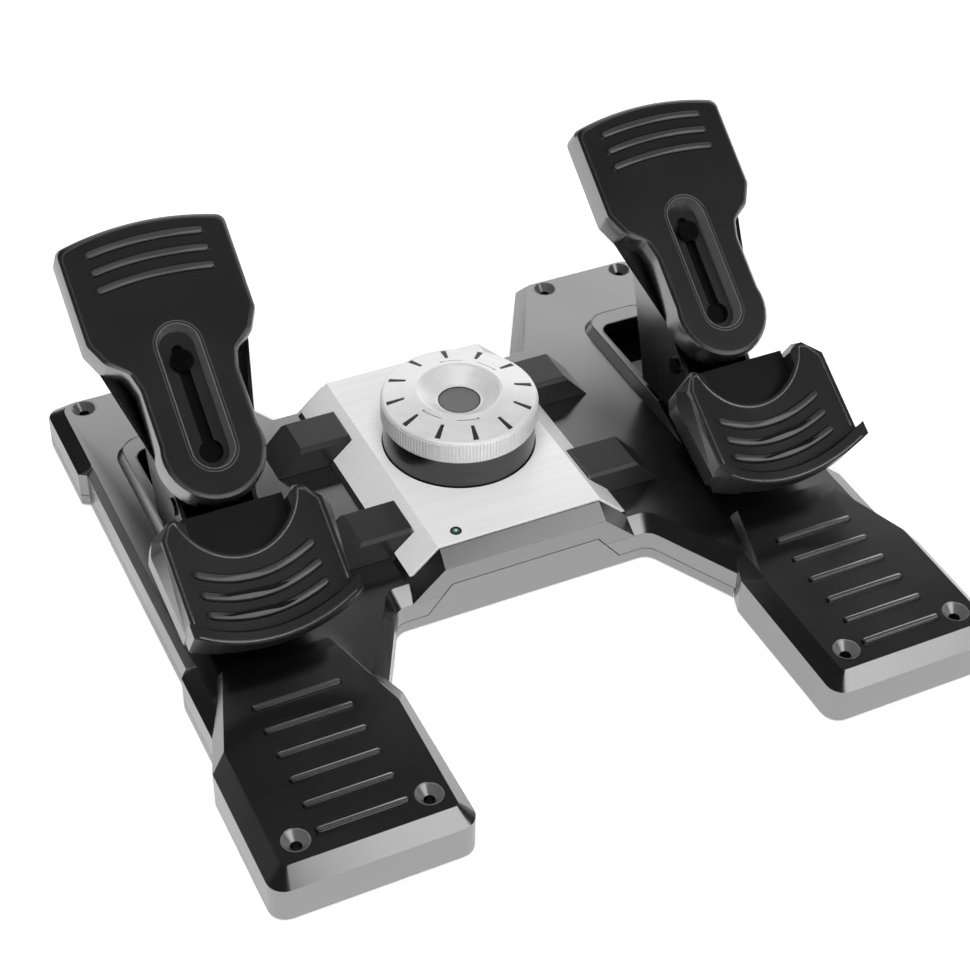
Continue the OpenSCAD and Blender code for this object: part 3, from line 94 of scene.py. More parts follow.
# Helpers for node trees
class Tree:
    """A node tree with short calls that add nodes and link sockets."""

    def __init__(self, owner):
        owner.use_nodes = True
        self.tree = owner.node_tree
        self.tree.nodes.clear()

    def add(self, kind, **values):
        node = self.tree.nodes.new(kind)
        for key, value in values.items():
            setattr(node, key, value)
        return node

    def link(self, source, target):
        self.tree.links.new(source, target)

    def place(self, kind):
        """A texture coordinate of the surface, such as Object or Normal."""
        return self.add("ShaderNodeTexCoord").outputs[kind]

    def split(self, vector):
        """The X, Y and Z of a vector."""
        node = self.add("ShaderNodeSeparateXYZ")
        self.link(vector, node.inputs[0])
        return node.outputs

    def math(self, operation, first, second=None, clamp=False):
        node = self.add("ShaderNodeMath", operation=operation, use_clamp=clamp)
        for socket, value in zip(node.inputs, (first, second)):
            if value is None:
                continue
            if isinstance(value, (int, float)):
                socket.default_value = value
            else:
                self.link(value, socket)
        return node.outputs[0]

    def rise(self, value, start, end):
        """0 while a value's size is below start, 1 past end, and a straight rise between them."""
        size = self.math("ABSOLUTE", value)
        return self.math("DIVIDE", self.math("SUBTRACT", size, start), end - start, clamp=True)

    def between(self, share, low, high):
        """A value that goes from low to high as share goes from 0 to 1."""
        return self.math("ADD", self.math("MULTIPLY", share, high - low), low)

    def ramp(self, fac, stops):
        node = self.add("ShaderNodeValToRGB")
        elements = node.color_ramp.elements
        while len(elements) < len(stops):
            elements.new(0.5)
        for element, (place, level) in zip(elements, stops):
            element.position = place
            element.color = (level, level, level, 1.0)
        self.link(fac, node.inputs[0])
        return node.outputs[0]

    def noise(self, vector, scale, detail, roughness=0.5):
        node = self.add("ShaderNodeTexNoise")
        node.inputs["Scale"].default_value = scale
        node.inputs["Detail"].default_value = detail
        node.inputs["Roughness"].default_value = roughness
        self.link(vector, node.inputs["Vector"])
        return node.outputs[0]

    def bump(self, height, strength, distance):
        node = self.add("ShaderNodeBump")
        node.inputs["Strength"].default_value = strength
        node.inputs["Distance"].default_value = distance
        self.link(height, node.inputs["Height"])
        return node.outputs[0]

    def mix_colour(self, fac, first, second):
        """A mix of two colours, each a tuple or a socket."""
        node = self.add("ShaderNodeMix", data_type="RGBA")
        self.link(fac, node.inputs["Factor"])
        for name, value in (("A", first), ("B", second)):
            socket = [s for s in node.inputs if s.name == name and s.type == "RGBA"][0]
            if isinstance(value, tuple):
                socket.default_value = (*value, 1.0)
            else:
                self.link(value, socket)
        return [s for s in node.outputs if s.type == "RGBA"][0]


def grey(level):
    """A linear grey from an 8-bit display value, by the sRGB curve."""
    share = level / 255.0
    linear = share / 12.92 if share <= 0.04045 else ((share + 0.055) / 1.055) ** 2.4
    return (linear, linear, linear)


def principled(tree, rough, metallic=0.0, ior=1.5):
    shader = tree.add("ShaderNodeBsdfPrincipled")
    shader.inputs["Roughness"].default_value = rough
    shader.inputs["Metallic"].default_value = metallic
    shader.inputs["IOR"].default_value = ior
    out = tree.add("ShaderNodeOutputMaterial")
    tree.link(shader.outputs[0], out.inputs["Surface"])
    return shader


# Moulded plastic: its cloudy patches and grain, and where its sideways faces and the hoods begin; over the
# hoods a lighter grey is painted light
CLOUD_SCALE = 14.0
CLOUD_DETAIL = 3.0
CLOUD_SPAN = (0.3, 0.7)
CLOUD_GLOSS = 0.03
GRAIN_DETAIL = 1.0
GRAIN_DEPTH = 0.2 * MM
SIDEWAYS_NORMAL = (0.5, 0.62)
HOODS_FROM_X = (55.0 * MM, 57.0 * MM)
HOODS_FROM_Y = -16.0 * MM


def sideways(tree):
    """0 on faces that look up or along the pedal, 1 on faces that look to the side."""
    return tree.rise(tree.split(tree.place("Normal"))["X"], *SIDEWAYS_NORMAL)


def over_hoods(tree, place):
    """0 near the middle plane of the object and at its heel side, 1 over the hoods."""
    parts = tree.split(place)
    share = tree.rise(parts["X"], *HOODS_FROM_X)
    return tree.math("MULTIPLY", share, tree.math("GREATER_THAN", parts["Y"], HOODS_FROM_Y))


def moulded(name, low, high, rough, ior, grain=0.05, grain_scale=2600.0, sides=None, hood_painted_light=None):
    """Satin moulded plastic: fine spark-eroded grain, faint cloudy tone and gloss changes.

    low and high are its darkest and lightest grey, sides = (roughness, ior) of the faces that look
    sideways, and the hood entry = (ior, low, high) over the hoods, whose lighter grey is painted light and
    whose lower ior dims their reflections.
    """
    mat = bpy.data.materials.new(name)
    tree = Tree(mat)
    shader = principled(tree, rough, ior=ior)
    place = tree.place("Object")
    cloud = tree.noise(place, CLOUD_SCALE, CLOUD_DETAIL)
    tone = tree.mix_colour(cloud, grey(low), grey(high))
    # Over the hoods: a lighter grey that is painted light, and a lower ior that dims their reflections
    if hood_painted_light:
        hood_ior, hood_painted_low, hood_painted_high = hood_painted_light
        share = over_hoods(tree, place)
        tone = tree.mix_colour(share, tone, tree.mix_colour(cloud, grey(hood_painted_low), grey(hood_painted_high)))
        tree.link(tree.between(share, ior, hood_ior), shader.inputs["IOR"])
    tree.link(tone, shader.inputs["Base Color"])
    gloss = tree.ramp(cloud, [(CLOUD_SPAN[0], rough - CLOUD_GLOSS), (CLOUD_SPAN[1], rough + CLOUD_GLOSS)])
    if sides:
        side_rough, side_ior = sides
        share = sideways(tree)
        gloss = tree.math("ADD", gloss, tree.math("MULTIPLY", share, side_rough - rough))
        tree.link(tree.between(share, ior, side_ior), shader.inputs["IOR"])
    tree.link(gloss, shader.inputs["Roughness"])
    grains = tree.noise(place, grain_scale, GRAIN_DETAIL)
    tree.link(tree.bump(grains, grain, GRAIN_DEPTH), shader.inputs["Normal"])
    return mat


# Brushed metal: how its streaks change the grey level and the roughness, and their depth
STREAK_DETAIL = 4.0
STREAK_ROUGHNESS = 0.6
STREAK_TONES = (-14, 10)
STREAK_GLOSS = ((0.25, -0.06), (0.75, 0.08))
STREAK_DEPTH = 0.05 * MM


def brushed(name, level, rough, scale, metallic=1.0, streak=0.12):
    """Metal brushed along one way: noise stretched by scale makes the streaks."""
    mat = bpy.data.materials.new(name)
    tree = Tree(mat)
    shader = principled(tree, rough, metallic=metallic)
    mapping = tree.add("ShaderNodeMapping")
    mapping.inputs["Scale"].default_value = scale
    tree.link(tree.place("Object"), mapping.inputs["Vector"])
    streaks = tree.noise(mapping.outputs[0], 1.0, STREAK_DETAIL, STREAK_ROUGHNESS)
    dark, light = [min(level + change, 255) for change in STREAK_TONES]
    tree.link(tree.mix_colour(streaks, grey(dark), grey(light)), shader.inputs["Base Color"])
    gloss = tree.ramp(streaks, [(share, rough + change) for share, change in STREAK_GLOSS])
    tree.link(gloss, shader.inputs["Roughness"])
    tree.link(tree.bump(streaks, streak, STREAK_DEPTH), shader.inputs["Normal"])
    return mat


# The lamp's lens: a smooth dark green plastic
LENS_COLOUR = (0.05, 0.17, 0.1, 1.0)
LENS_ROUGH = 0.12


def clear_lens(name):
    mat = bpy.data.materials.new(name)
    shader = principled(Tree(mat), LENS_ROUGH)
    shader.inputs["Base Color"].default_value = LENS_COLOUR
    return mat


COARSE_GRAIN = {"grain_scale": 700.0, "grain": 0.006}
PLASTICS = {
    "shell_black": dict(low=6, high=11, rough=0.22, ior=3.1, **COARSE_GRAIN),
    # The hoods take a lighter grey, painted light, and a lower ior that dims their reflections
    "housing_black": dict(low=6, high=11, rough=0.24, ior=2.95, hood_painted_light=(1.38, 40, 50), **COARSE_GRAIN),
    "tray_black": dict(low=14, high=20, rough=0.28, ior=3.1),
    "pedal_black": dict(low=22, high=30, rough=0.32, ior=2.0, grain=0.1, sides=(0.26, 3.2)),
    "tread_black": dict(low=26, high=34, rough=0.38, ior=1.9, grain=0.1, sides=(0.28, 3.0)),
    "frame_black": dict(low=12, high=18, rough=0.36, ior=1.8, sides=(0.26, 3.0)),
    # The toe and cup grip bars and the plate and trough edge beads: the black plastic in a lighter grey,
    # painted highlight
    "ridge_painted_highlight": dict(low=54, high=64, rough=0.4, ior=2.0, grain=0.02),
    # The beads on the cup rims, the cup lips' outer edges and the slot collars: a lighter grey, painted
    # highlight
    "rim_painted_highlight": dict(low=60, high=72, rough=0.26, ior=2.6, grain=0.02),
    # The footrest grip bars: the black plastic in a lighter grey, painted highlight
    "grip_painted_highlight": dict(low=66, high=78, rough=0.22, ior=3.1, grain=0.01),
    # The trough walls and the countersink seats: a lighter grey that paints the reflection in these hollows
    "wall_painted_reflection": dict(low=92, high=106, rough=0.25, ior=2.8, grain=0.02),
    # Near-black with dull reflections: painted shadow in the bands round the grip bars and the creases
    # behind the cup lips, and the plain dark colour of the seam line round the footrests, the lamp bezel
    # and drum foot rings and the brake arms and sensors
    "shade_and_dark_parts_black": dict(low=4, high=9, rough=0.5, ior=1.3),
    "rubber": dict(low=20, high=28, rough=0.75, ior=1.45, grain=0.2),
    "cap_grey": dict(low=96, high=108, rough=0.5, ior=1.5),
    "mark_dark": dict(low=40, high=52, rough=0.5, ior=1.5),
    # A white for the small dome in the middle of the lamp, a painted glint
    "painted_glint_white": dict(low=215, high=225, rough=0.4, ior=1.5),
    "print_grey": dict(low=100, high=120, rough=0.5, ior=1.45),
    "board_green": dict(low=60, high=80, rough=0.4, ior=1.5),
}
METALS = {
    "plate_silver": dict(level=243, rough=0.42, scale=(6.0, 900.0, 900.0), metallic=0.15, streak=0.06),
    "dial_silver": dict(level=236, rough=0.38, scale=(60.0, 60.0, 900.0), metallic=0.3),
    "drum_dark": dict(level=84, rough=0.22, scale=(40.0, 40.0, 1200.0)),
    "screw_dark": dict(level=60, rough=0.3, scale=(300.0, 300.0, 900.0)),
    "steel": dict(level=190, rough=0.32, scale=(200.0, 200.0, 900.0)),
    "brass": dict(level=190, rough=0.3, scale=(200.0, 200.0, 900.0)),
}


def make_materials():
    looks = {name: moulded(name, **values) for name, values in PLASTICS.items()}
    looks.update({name: brushed(name, **values) for name, values in METALS.items()})
    looks["lens_green"] = clear_lens("lens_green")
    return looks


# Looks of the CAD nodes
def pair(*names):
    """The left and the right node of each name."""
    return [f"{name}_{side}" for name in names for side in SIDES]


NODE_LOOKS = {
    "shell_black": ["top_shell"] + pair("footrest"),
    "housing_black": ["centre_housing"],
    "tray_black": ["base_tray"],
    "pedal_black": pair("toe_plate"),
    "tread_black": pair("heel_cup"),
    "frame_black": pair("carriage") + ["rudder_sensor", "spring_stops"],
    "shade_and_dark_parts_black": pair("brake_arm", "brake_sensor"),
    "screw_dark": pair("brake_axle", "clamp_screw"),
    "rubber": ["rubber_feet", "cable_gland", "friction_pad"],
    "plate_silver": ["centre_plate"],
    "dial_silver": ["tension_dial"],
    "drum_dark": ["dial_drum"],
    "cap_grey": ["dial_cap"],
    "board_green": ["circuit_board"],
    "brass": ["front_bush", "rear_bush", "spindle_bush"],
    "lens_green": ["power_lens"],
    "steel": ["case_screws", "usb_socket_block", "front_post", "rear_post", "rear_post_cap", "front_bar",
              "rear_bar", "friction_sector", "pad_spring", "sensor_bracket", "centring_spring",
              "dial_spindle", "front_pins", "rear_pins"] + pair("glide_pads", "brake_spring"),
}


def dress_nodes(looks):
    for look, names in NODE_LOOKS.items():
        for name in names:
            materials = nodes[name].data.materials
            materials.clear()
            materials.append(looks[look])


# Bevel widths, with the nodes whose edges they soften
SOFT_EDGES = {
    0.7: ["top_shell"],
    1.7: ["centre_housing"],
    0.6: pair("footrest"),
    0.5: ["base_tray"] + pair("toe_plate"),
    0.3: ["centre_plate"],
    1.1: pair("heel_cup"),
    0.8: pair("carriage"),
}
SMOOTH_ANGLE = 26.0
FLAT_ANGLE = 0.5
BEVEL_ANGLE = 24.0
BEVEL_SEGMENTS = 3
WELD_DISTANCE = 0.01 * MM


def smooth_group():
    """Geometry nodes that drop stored normals and shade smooth where faces meet at a small angle."""
    group = bpy.data.node_groups.new("smooth_by_angle", "GeometryNodeTree")
    for way in ("INPUT", "OUTPUT"):
        group.interface.new_socket("Geometry", in_out=way, socket_type="NodeSocketGeometry")
    add = group.nodes.new
    start, end = add("NodeGroupInput"), add("NodeGroupOutput")
    drop = add("GeometryNodeRemoveAttribute")
    drop.inputs["Name"].default_value = "custom_normal"
    angle = add("GeometryNodeInputMeshEdgeAngle")
    small = add("FunctionNodeCompare")
    small.operation = "LESS_THAN"
    small.inputs[1].default_value = math.radians(SMOOTH_ANGLE)
    edges = add("GeometryNodeSetShadeSmooth")
    edges.domain = "EDGE"
    faces = add("GeometryNodeSetShadeSmooth")
    faces.domain = "FACE"
    link = group.links.new
    link(start.outputs[0], drop.inputs["Geometry"])
    link(drop.outputs[0], edges.inputs["Geometry"])
    link(angle.outputs["Unsigned Angle"], small.inputs[0])
    link(small.outputs[0], edges.inputs["Shade Smooth"])
    link(edges.outputs[0], faces.inputs["Geometry"])
    link(faces.outputs[0], end.inputs[0])
    return group


def soften(name, width, group):
    """Rounds a node's edges: its mesh is welded and its flat faces joined first."""
    node = nodes[name]
    weld = node.modifiers.new("weld", "WELD")
    weld.merge_threshold = WELD_DISTANCE
    flat = node.modifiers.new("flat", "DECIMATE")
    flat.decimate_type = "DISSOLVE"
    flat.angle_limit = math.radians(FLAT_ANGLE)
    shade = node.modifiers.new("shade", "NODES")
    shade.node_group = group
    bevel = node.modifiers.new("bevel", "BEVEL")
    bevel.width = width * MM
    bevel.segments = BEVEL_SEGMENTS
    bevel.limit_method = "ANGLE"
    bevel.angle_limit = math.radians(BEVEL_ANGLE)
    bevel.harden_normals = True
    bevel.use_clamp_overlap = True


def soften_nodes():
    group = smooth_group()
    for width, names in SOFT_EDGES.items():
        for name in names:
            soften(name, width, group)


# Helpers that make pieces
def carrier(name):
    """The body that a CAD node rides on."""
    return body_of(nodes[name])[0]


def put(name, data, look, body):
    """Makes the object of a piece, with its material, and lets it ride."""
    piece = bpy.data.objects.new(name, data)
    bpy.context.scene.collection.objects.link(piece)
    data.materials.append(look)
    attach(piece, body)
    return piece


def finish_mesh(name, work, look, body, smooth=False):
    """Turns a bmesh into a piece."""
    mesh = bpy.data.meshes.new(name)
    bmesh.ops.recalc_face_normals(work, faces=work.faces)
    for face in work.faces:
        face.smooth = smooth
    work.to_mesh(mesh)
    work.free()
    return put(name, mesh, look, body)


def loft(work, rows, closed=False, capped=False):
    """Walls between outlines with as many points each.

    They go back to the first outline where closed, and the first and last ones are filled where capped.
    """
    rings = [[work.verts.new(point) for point in row] for row in rows]
    if capped:
        work.faces.new(list(reversed(rings[0])))
        work.faces.new(rings[-1])
    ends = rings[1:] + rings[:1] if closed else rings[1:]
    for low, high in zip(rings, ends):
        for k in range(len(low)):
            after = (k + 1) % len(low)
            work.faces.new((low[k], low[after], high[after], high[k]))


# The dome at a bead's open end: how far out its rings lie and how wide they are, as shares of the radius
DOME = ((1.0, 0.1), (0.7, 0.7))
BEAD_RESOLUTION = 3


def domed(points, radius):
    """The path with more points at both ends, and the share of the radius that each point gets."""
    first = (points[0] - points[1]).normalized() * radius
    last = (points[-1] - points[-2]).normalized() * radius
    head = [points[0] + first * reach for reach, _ in DOME]
    tail = [points[-1] + last * reach for reach, _ in reversed(DOME)]
    widths = [width for _, width in DOME]
    return head + points + tail, widths + [1.0] * len(points) + widths[::-1]


def bead(name, paths, radius, look, body, closed=False):
    """Round beads along paths of points, with domed ends where they are open."""
    curve = bpy.data.curves.new(name, "CURVE")
    curve.dimensions = "3D"
    curve.bevel_depth = radius * MM
    curve.bevel_resolution = BEAD_RESOLUTION
    curve.use_fill_caps = not closed
    for path in paths:
        points, widths = (path, [1.0] * len(path)) if closed else domed(path, radius * MM)
        spline = curve.splines.new("POLY")
        spline.points.add(len(points) - 1)
        spline.use_cyclic_u = closed
        for target, point, width in zip(spline.points, points, widths):
            target.co = (*point, 1.0)
            target.radius = width
    return put(name, curve, look, body)


# Outlines
def straight(start, end, steps):
    """Points of a straight line."""
    return [start + (end - start) * k / steps for k in range(steps + 1)]


def arc(centre, radius, first, last, steps):
    """Points of an arc, its angles in degrees from the X axis."""
    angles = [math.radians(first + (last - first) * k / steps) for k in range(steps + 1)]
    return [Vector((centre[0] + radius * math.cos(a), centre[1] + radius * math.sin(a))) for a in angles]


def circle(x, y, z, radius, steps=48):
    """Points of a level circle, in metres."""
    return [Vector((x + radius * math.cos(2 * math.pi * k / steps),
                    y + radius * math.sin(2 * math.pi * k / steps), z)) * MM for k in range(steps)]


def corner(before, at, after, radius, steps):
    """A corner of an outline rounded to a radius."""
    into, out = (before - at).normalized(), (after - at).normalized()
    half = math.acos(max(-1.0, min(1.0, into.dot(out)))) / 2.0
    centre = at + (into + out).normalized() * radius / math.sin(half)
    start = at + into * radius / math.tan(half) - centre
    end = at + out * radius / math.tan(half) - centre
    first = math.atan2(start.y, start.x)
    turn = (math.atan2(end.y, end.x) - first + 3 * math.pi) % (2 * math.pi) - math.pi
    turns = [first + turn * k / steps for k in range(steps + 1)]
    return [centre + radius * Vector((math.cos(a), math.sin(a))) for a in turns]


def mirrored(points):
    """The points across the Y axis, from last to first."""
    return [Vector((-point.x, point.y)) for point in reversed(points)]


END_STEPS = 8


def round_end(at, way, radius):
    """Half a turn round the end of a path that points a way, from its left side to its right."""
    first = math.atan2(way.y, way.x) + math.pi / 2
    turns = [first - math.pi * k / END_STEPS for k in range(1, END_STEPS)]
    return [at + radius * Vector((math.cos(turn), math.sin(turn))) for turn in turns]


def bar_outline(line, half):
    """Outline at a distance from a flat path, round at both ends."""
    left, right = [], []
    for k, point in enumerate(line):
        way = (line[min(k + 1, len(line) - 1)] - line[max(k - 1, 0)]).normalized()
        aside = Vector((-way.y, way.x)) * half
        left.append(point + aside)
        right.append(point - aside)
    far_end = round_end(line[-1], line[-1] - line[-2], half)
    return left + far_end + right[::-1] + round_end(line[0], line[0] - line[1], half)


# Rows of a grip bar's rounded section: how far in from its side and its height, as shares of its size
BAR_FOOT = -0.3
BAR_TURNS = (0, 20, 40, 60, 78)
BAR_ROWS = [(0.0, BAR_FOOT)]
BAR_ROWS += [(1 - math.cos(math.radians(turn)), math.sin(math.radians(turn))) for turn in BAR_TURNS]
# The painted shadow round a bar, a thin dark band laid just over the surface: its width, and rows with a
# share of that width and a height
SHADOW_BAND = 0.55
SHADOW_BAND_ROWS = ((1.0, -0.3), (1.0, 0.05), (0.5, 0.09))


def make_bars(name, lines, place, size, look, dark, body):
    """Rounded grip bars, each ringed by a thin dark band just over the surface that paints the shadow at
    its foot; size = (half width, height, roundness).
    """
    half, height, soft = size
    bar_rows = [(half - soft * inset, height * rise) for inset, rise in BAR_ROWS]
    shadow_band_rows = [(half + SHADOW_BAND * share, z) for share, z in SHADOW_BAND_ROWS]
    bars, shadow_bands = bmesh.new(), bmesh.new()
    for line in lines:
        for work, rows in ((bars, bar_rows), (shadow_bands, shadow_band_rows)):
            layers = [[place(p.x, p.y, z) for p in bar_outline(line, grow)] for grow, z in rows]
            loft(work, layers, capped=True)
    finish_mesh(name, bars, look, body, smooth=True)
    finish_mesh(name + "_painted_shadows", shadow_bands, dark, body)


RIDGE_STEPS = 16


def ridge_arc(centre_y, radius, half, way):
    """A grip ridge's middle line, bowed up with way = 1 or down with way = -1."""
    swing = math.degrees(math.asin(half / radius))
    return arc((0.0, centre_y), radius, way * 90 - swing, way * 90 + swing, RIDGE_STEPS)


# Toe plates: the frame of a plate, its origin at the middle of the trough's lower end
PEDAL_X = 157.5
KEY_AT = Vector((PEDAL_X, 20.1, 113.9))
TOE_SLOPE = Matrix.Rotation(math.radians(36.2), 4, "X")

# A plate's outline: half widths, heights up the plate, and radii of the corners from the foot up.
# The flare widens the waist and the shoulder narrows the head: by how much, and at what height
TOE_HEAD = 46.0
TOE_WAIST = 26.0
TOE_FOOT_R = 27.0
TOE_FOOT_STEPS = 24
TOE_WAIST_Y = 40.0
TOE_FLARE = (3.0, 51.0)
TOE_SHOULDER = (6.0, 60.0)
TOE_HEAD_Y = 72.0
TOE_TOP_Y = 132.0
TOE_CROWN_R = 154.6
TOE_CROWN_STEPS = 9
TOE_CORNERS = (16.0, 8.0, 8.0, 6.4, 5.6)
TOE_CORNER_STEPS = 6

# What trims a plate: the bead along its edge, the trough with its bead and walls, and the grip ridges, in
# lighter greys that paint highlights on the beads and ridges and the reflection on the walls
TOE_EDGE_GROW = -0.5
TOE_EDGE_Z = -0.4
TOE_EDGE_R = 0.5
TROUGH_TOP_Y = 60.0
TROUGH_STEPS = 16
# Radius of the trough at its edge, and thickness of the bead along it
TROUGH_EDGE = (13.6, 0.5)
# Radius and height of the corners of the trough walls' section; these walls are a lighter grey sheet that
# paints the reflection in the trough
TROUGH_ROWS = ((12.3, 0.1), (12.3, -7.8), (9.7, -7.8), (9.9, -6.0), (11.7, 0.1))
TOE_RIDGE_YS = (123.0, 112.5, 102.0)
TOE_RIDGE_R = 190.0
TOE_RIDGE_HALF = 31.2
TOE_BAR = (2.05, 1.55, 0.75)


def toe_place(side, x, y, z):
    """A point of a toe plate's own frame, in metres."""
    point = KEY_AT + TOE_SLOPE @ Vector((x, y, z))
    return Vector((side * point.x, point.y, point.z)) * MM


def toe_crown(grow):
    """The crown's bowed top edge, from the right corner to near the middle."""
    head = TOE_HEAD + grow
    base = TOE_TOP_Y + grow - TOE_CROWN_R
    points = []
    for k in range(TOE_CROWN_STEPS):
        share = 1 - k / (TOE_CROWN_STEPS - 0.5)
        points.append((head * share, base + math.sqrt(TOE_CROWN_R ** 2 - (TOE_HEAD * share) ** 2)))
    return points


def toe_outline(grow):
    """Outline of a toe plate in its own frame, grown by a distance."""
    head, waist, foot_r = TOE_HEAD + grow, TOE_WAIST + grow, TOE_FOOT_R + grow
    last = math.acos(waist / foot_r)
    first = -math.pi - last
    turns = [first + (last - first) * k / TOE_FOOT_STEPS for k in range(TOE_FOOT_STEPS + 1)]
    foot = [foot_r * Vector((math.cos(turn), math.sin(turn))) for turn in turns]
    edge = [(waist, TOE_WAIST_Y), (waist + TOE_FLARE[0], TOE_FLARE[1]),
            (head - TOE_SHOULDER[0], TOE_SHOULDER[1] - grow / 2), (head, TOE_HEAD_Y - grow / 2)]
    line = [foot[-1]] + [Vector(point) for point in edge + toe_crown(grow)]
    right = []
    for k, radius in enumerate(TOE_CORNERS):
        right += corner(line[k], line[k + 1], line[k + 2], radius, TOE_CORNER_STEPS)
    right += line[len(TOE_CORNERS) + 1:]
    return foot + right + mirrored(right)


def trough_ring(radius):
    """Outline of the trough at a radius, round at both ends."""
    top = arc((0.0, TROUGH_TOP_Y), radius, 0, 180, TROUGH_STEPS)
    return top + arc((0.0, 0.0), radius, 180, 360, TROUGH_STEPS)


def trim_toe(name, side, looks):
    """Edge beads, trough walls and grip bars of one toe plate: the beads and bars are lighter and paint
    highlights, the walls paint the trough's reflection, and dark bands round the bars paint their shadow.
    """
    toe = carrier("toe_plate_" + name)
    ridge_painted_highlight = looks["ridge_painted_highlight"]

    def place(x, y, z):
        return toe_place(side, x, y, z)

    edge = [place(p.x, p.y, TOE_EDGE_Z) for p in toe_outline(TOE_EDGE_GROW)]
    bead("toe_edge_" + name, [edge], TOE_EDGE_R, ridge_painted_highlight, toe, closed=True)
    radius, thick = TROUGH_EDGE
    trough = [place(p.x, p.y, 0.0) for p in trough_ring(radius)]
    bead("toe_trough_edge_" + name, [trough], thick, ridge_painted_highlight, toe, closed=True)
    walls = bmesh.new()
    rows = [[place(p.x, p.y, z) for p in trough_ring(radius)] for radius, z in TROUGH_ROWS]
    loft(walls, rows, closed=True)
    finish_mesh("toe_trough_walls_" + name, walls, looks["wall_painted_reflection"], toe)
    ridges = [ridge_arc(y - TOE_RIDGE_R, TOE_RIDGE_R, TOE_RIDGE_HALF, 1) for y in TOE_RIDGE_YS]
    make_bars("toe_ridges_" + name, ridges, place, TOE_BAR, ridge_painted_highlight, looks["shade_and_dark_parts_black"], toe)


# Heel cups: the frame of a cup's tread in its toe plate's frame, and the bend across it
CUP_AT = Vector((0.0, -77.5, 2.7))
CUP_TILT = Matrix.Rotation(math.radians(-4.6), 4, "X")
CUP_BEND = 98.0

# The ridges and the lip are arcs about one point, and the bowl's rim is an arc about another
CUP_CENTRE_Y = 77.5
CUP_RIDGE_RADII = (73.4, 84.0, 94.4)
CUP_RIDGE_HALF = 31.0
CUP_BAR = (2.15, 1.95, 0.9)
CUP_BOWL_CENTRE_Y = 51.0
CUP_BOWL_RIM_R = 35.8
# First and last angle of the bowl's rim, and its steps
CUP_BOWL_TURNS = (-15.0, -165.0, 28)
# The rim's straight side, from low to up, and the corner beside the bowl
CUP_RIM_LOW = Vector((42.6, -14.0))
CUP_RIM_UP = Vector((42.6, 32.0))
CUP_RIM_STEPS = 6
CUP_RIM_CORNER = Vector((38.2, 40.0))
CUP_RIM_LIFT = 0.05
CUP_RIM_R = 0.75
# Radius, half width, height, thickness and look of the beads along the lip; the outer edge bead paints a
# highlight, and the inner edge and crease beads paint the shadow behind the lip
LIP_BEADS = {
    "cup_lip_edge": (109.6, 43.6, 4.9, 0.75, "rim_painted_highlight"),
    "cup_lip_inner_edge": (104.1, 43.0, 4.9, 0.5, "shade_and_dark_parts_black"),
    "cup_lip_crease": (103.7, 42.0, 0.0, 0.5, "shade_and_dark_parts_black"),
}


def cup_place(side, x, y, lift):
    """A point over the curved tread of a heel cup, in metres."""
    z = CUP_BEND - math.sqrt(CUP_BEND ** 2 - x * x)
    point = CUP_AT + CUP_TILT @ Vector((x, y, z + lift))
    return toe_place(side, *point)


def trim_cup(name, side, looks):
    """Grip bars, rim bead and lip beads of one heel cup: the bars, the rim bead and the lip's outer bead
    are lighter and paint highlights, and the lip's inner beads paint the shadow behind the lip.
    """
    cup = carrier("heel_cup_" + name)

    def place(x, y, z):
        return cup_place(side, x, y, z)

    treads = [ridge_arc(CUP_CENTRE_Y, radius, CUP_RIDGE_HALF, -1) for radius in CUP_RIDGE_RADII]
    make_bars("cup_ridges_" + name, treads, place, CUP_BAR, looks["ridge_painted_highlight"], looks["shade_and_dark_parts_black"], cup)
    right = straight(CUP_RIM_LOW, CUP_RIM_UP, CUP_RIM_STEPS) + [CUP_RIM_CORNER]
    rim = right + arc((0.0, CUP_BOWL_CENTRE_Y), CUP_BOWL_RIM_R, *CUP_BOWL_TURNS) + mirrored(right)
    rim = [place(p.x, p.y, CUP_RIM_LIFT) for p in rim]
    bead("cup_rim_" + name, [rim], CUP_RIM_R, looks["rim_painted_highlight"], cup)
    for part, (radius, half, z, thick, look) in LIP_BEADS.items():
        line = ridge_arc(CUP_CENTRE_Y, radius, half, -1)
        bead(part + "_" + name, [[place(p.x, p.y, z) for p in line]], thick, looks[look], cup)


# Footrests: their grip ridges, and the top that rises from the near edge to the far one
FOOT_X = 158.7
FOOT_HALF = 22.8
FOOT_LINE_STEPS = 8
FOOT_COUNT = 6
FOOT_FIRST_Y = -94.7
FOOT_PITCH = 17.6
FOOT_NEAR_Y = -205.0
FOOT_LENGTH = 143.0
FOOT_NEAR_TOP = 31.0
FOOT_FAR_TOP = 33.5
FOOT_BAR = (1.9, 1.65, 1.5)


def trim_footrest(name, side, looks):
    """Rounded bars over the footrest's grip ridges, a lighter grey that paints their highlight, each in a
    dark band that paints its shadow.
    """
    across = [FOOT_HALF * (2 * k / FOOT_LINE_STEPS - 1) for k in range(FOOT_LINE_STEPS + 1)]
    lines = [[Vector((x, FOOT_FIRST_Y - k * FOOT_PITCH)) for x in across] for k in range(FOOT_COUNT)]

    def place(x, y, z):
        top = FOOT_NEAR_TOP + (FOOT_FAR_TOP - FOOT_NEAR_TOP) * (y - FOOT_NEAR_Y) / FOOT_LENGTH
        return Vector((side * (FOOT_X + x), y, top + z)) * MM

    make_bars("foot_grips_" + name, lines, place, FOOT_BAR, looks["grip_painted_highlight"], looks["shade_and_dark_parts_black"],
              carrier("footrest_" + name))


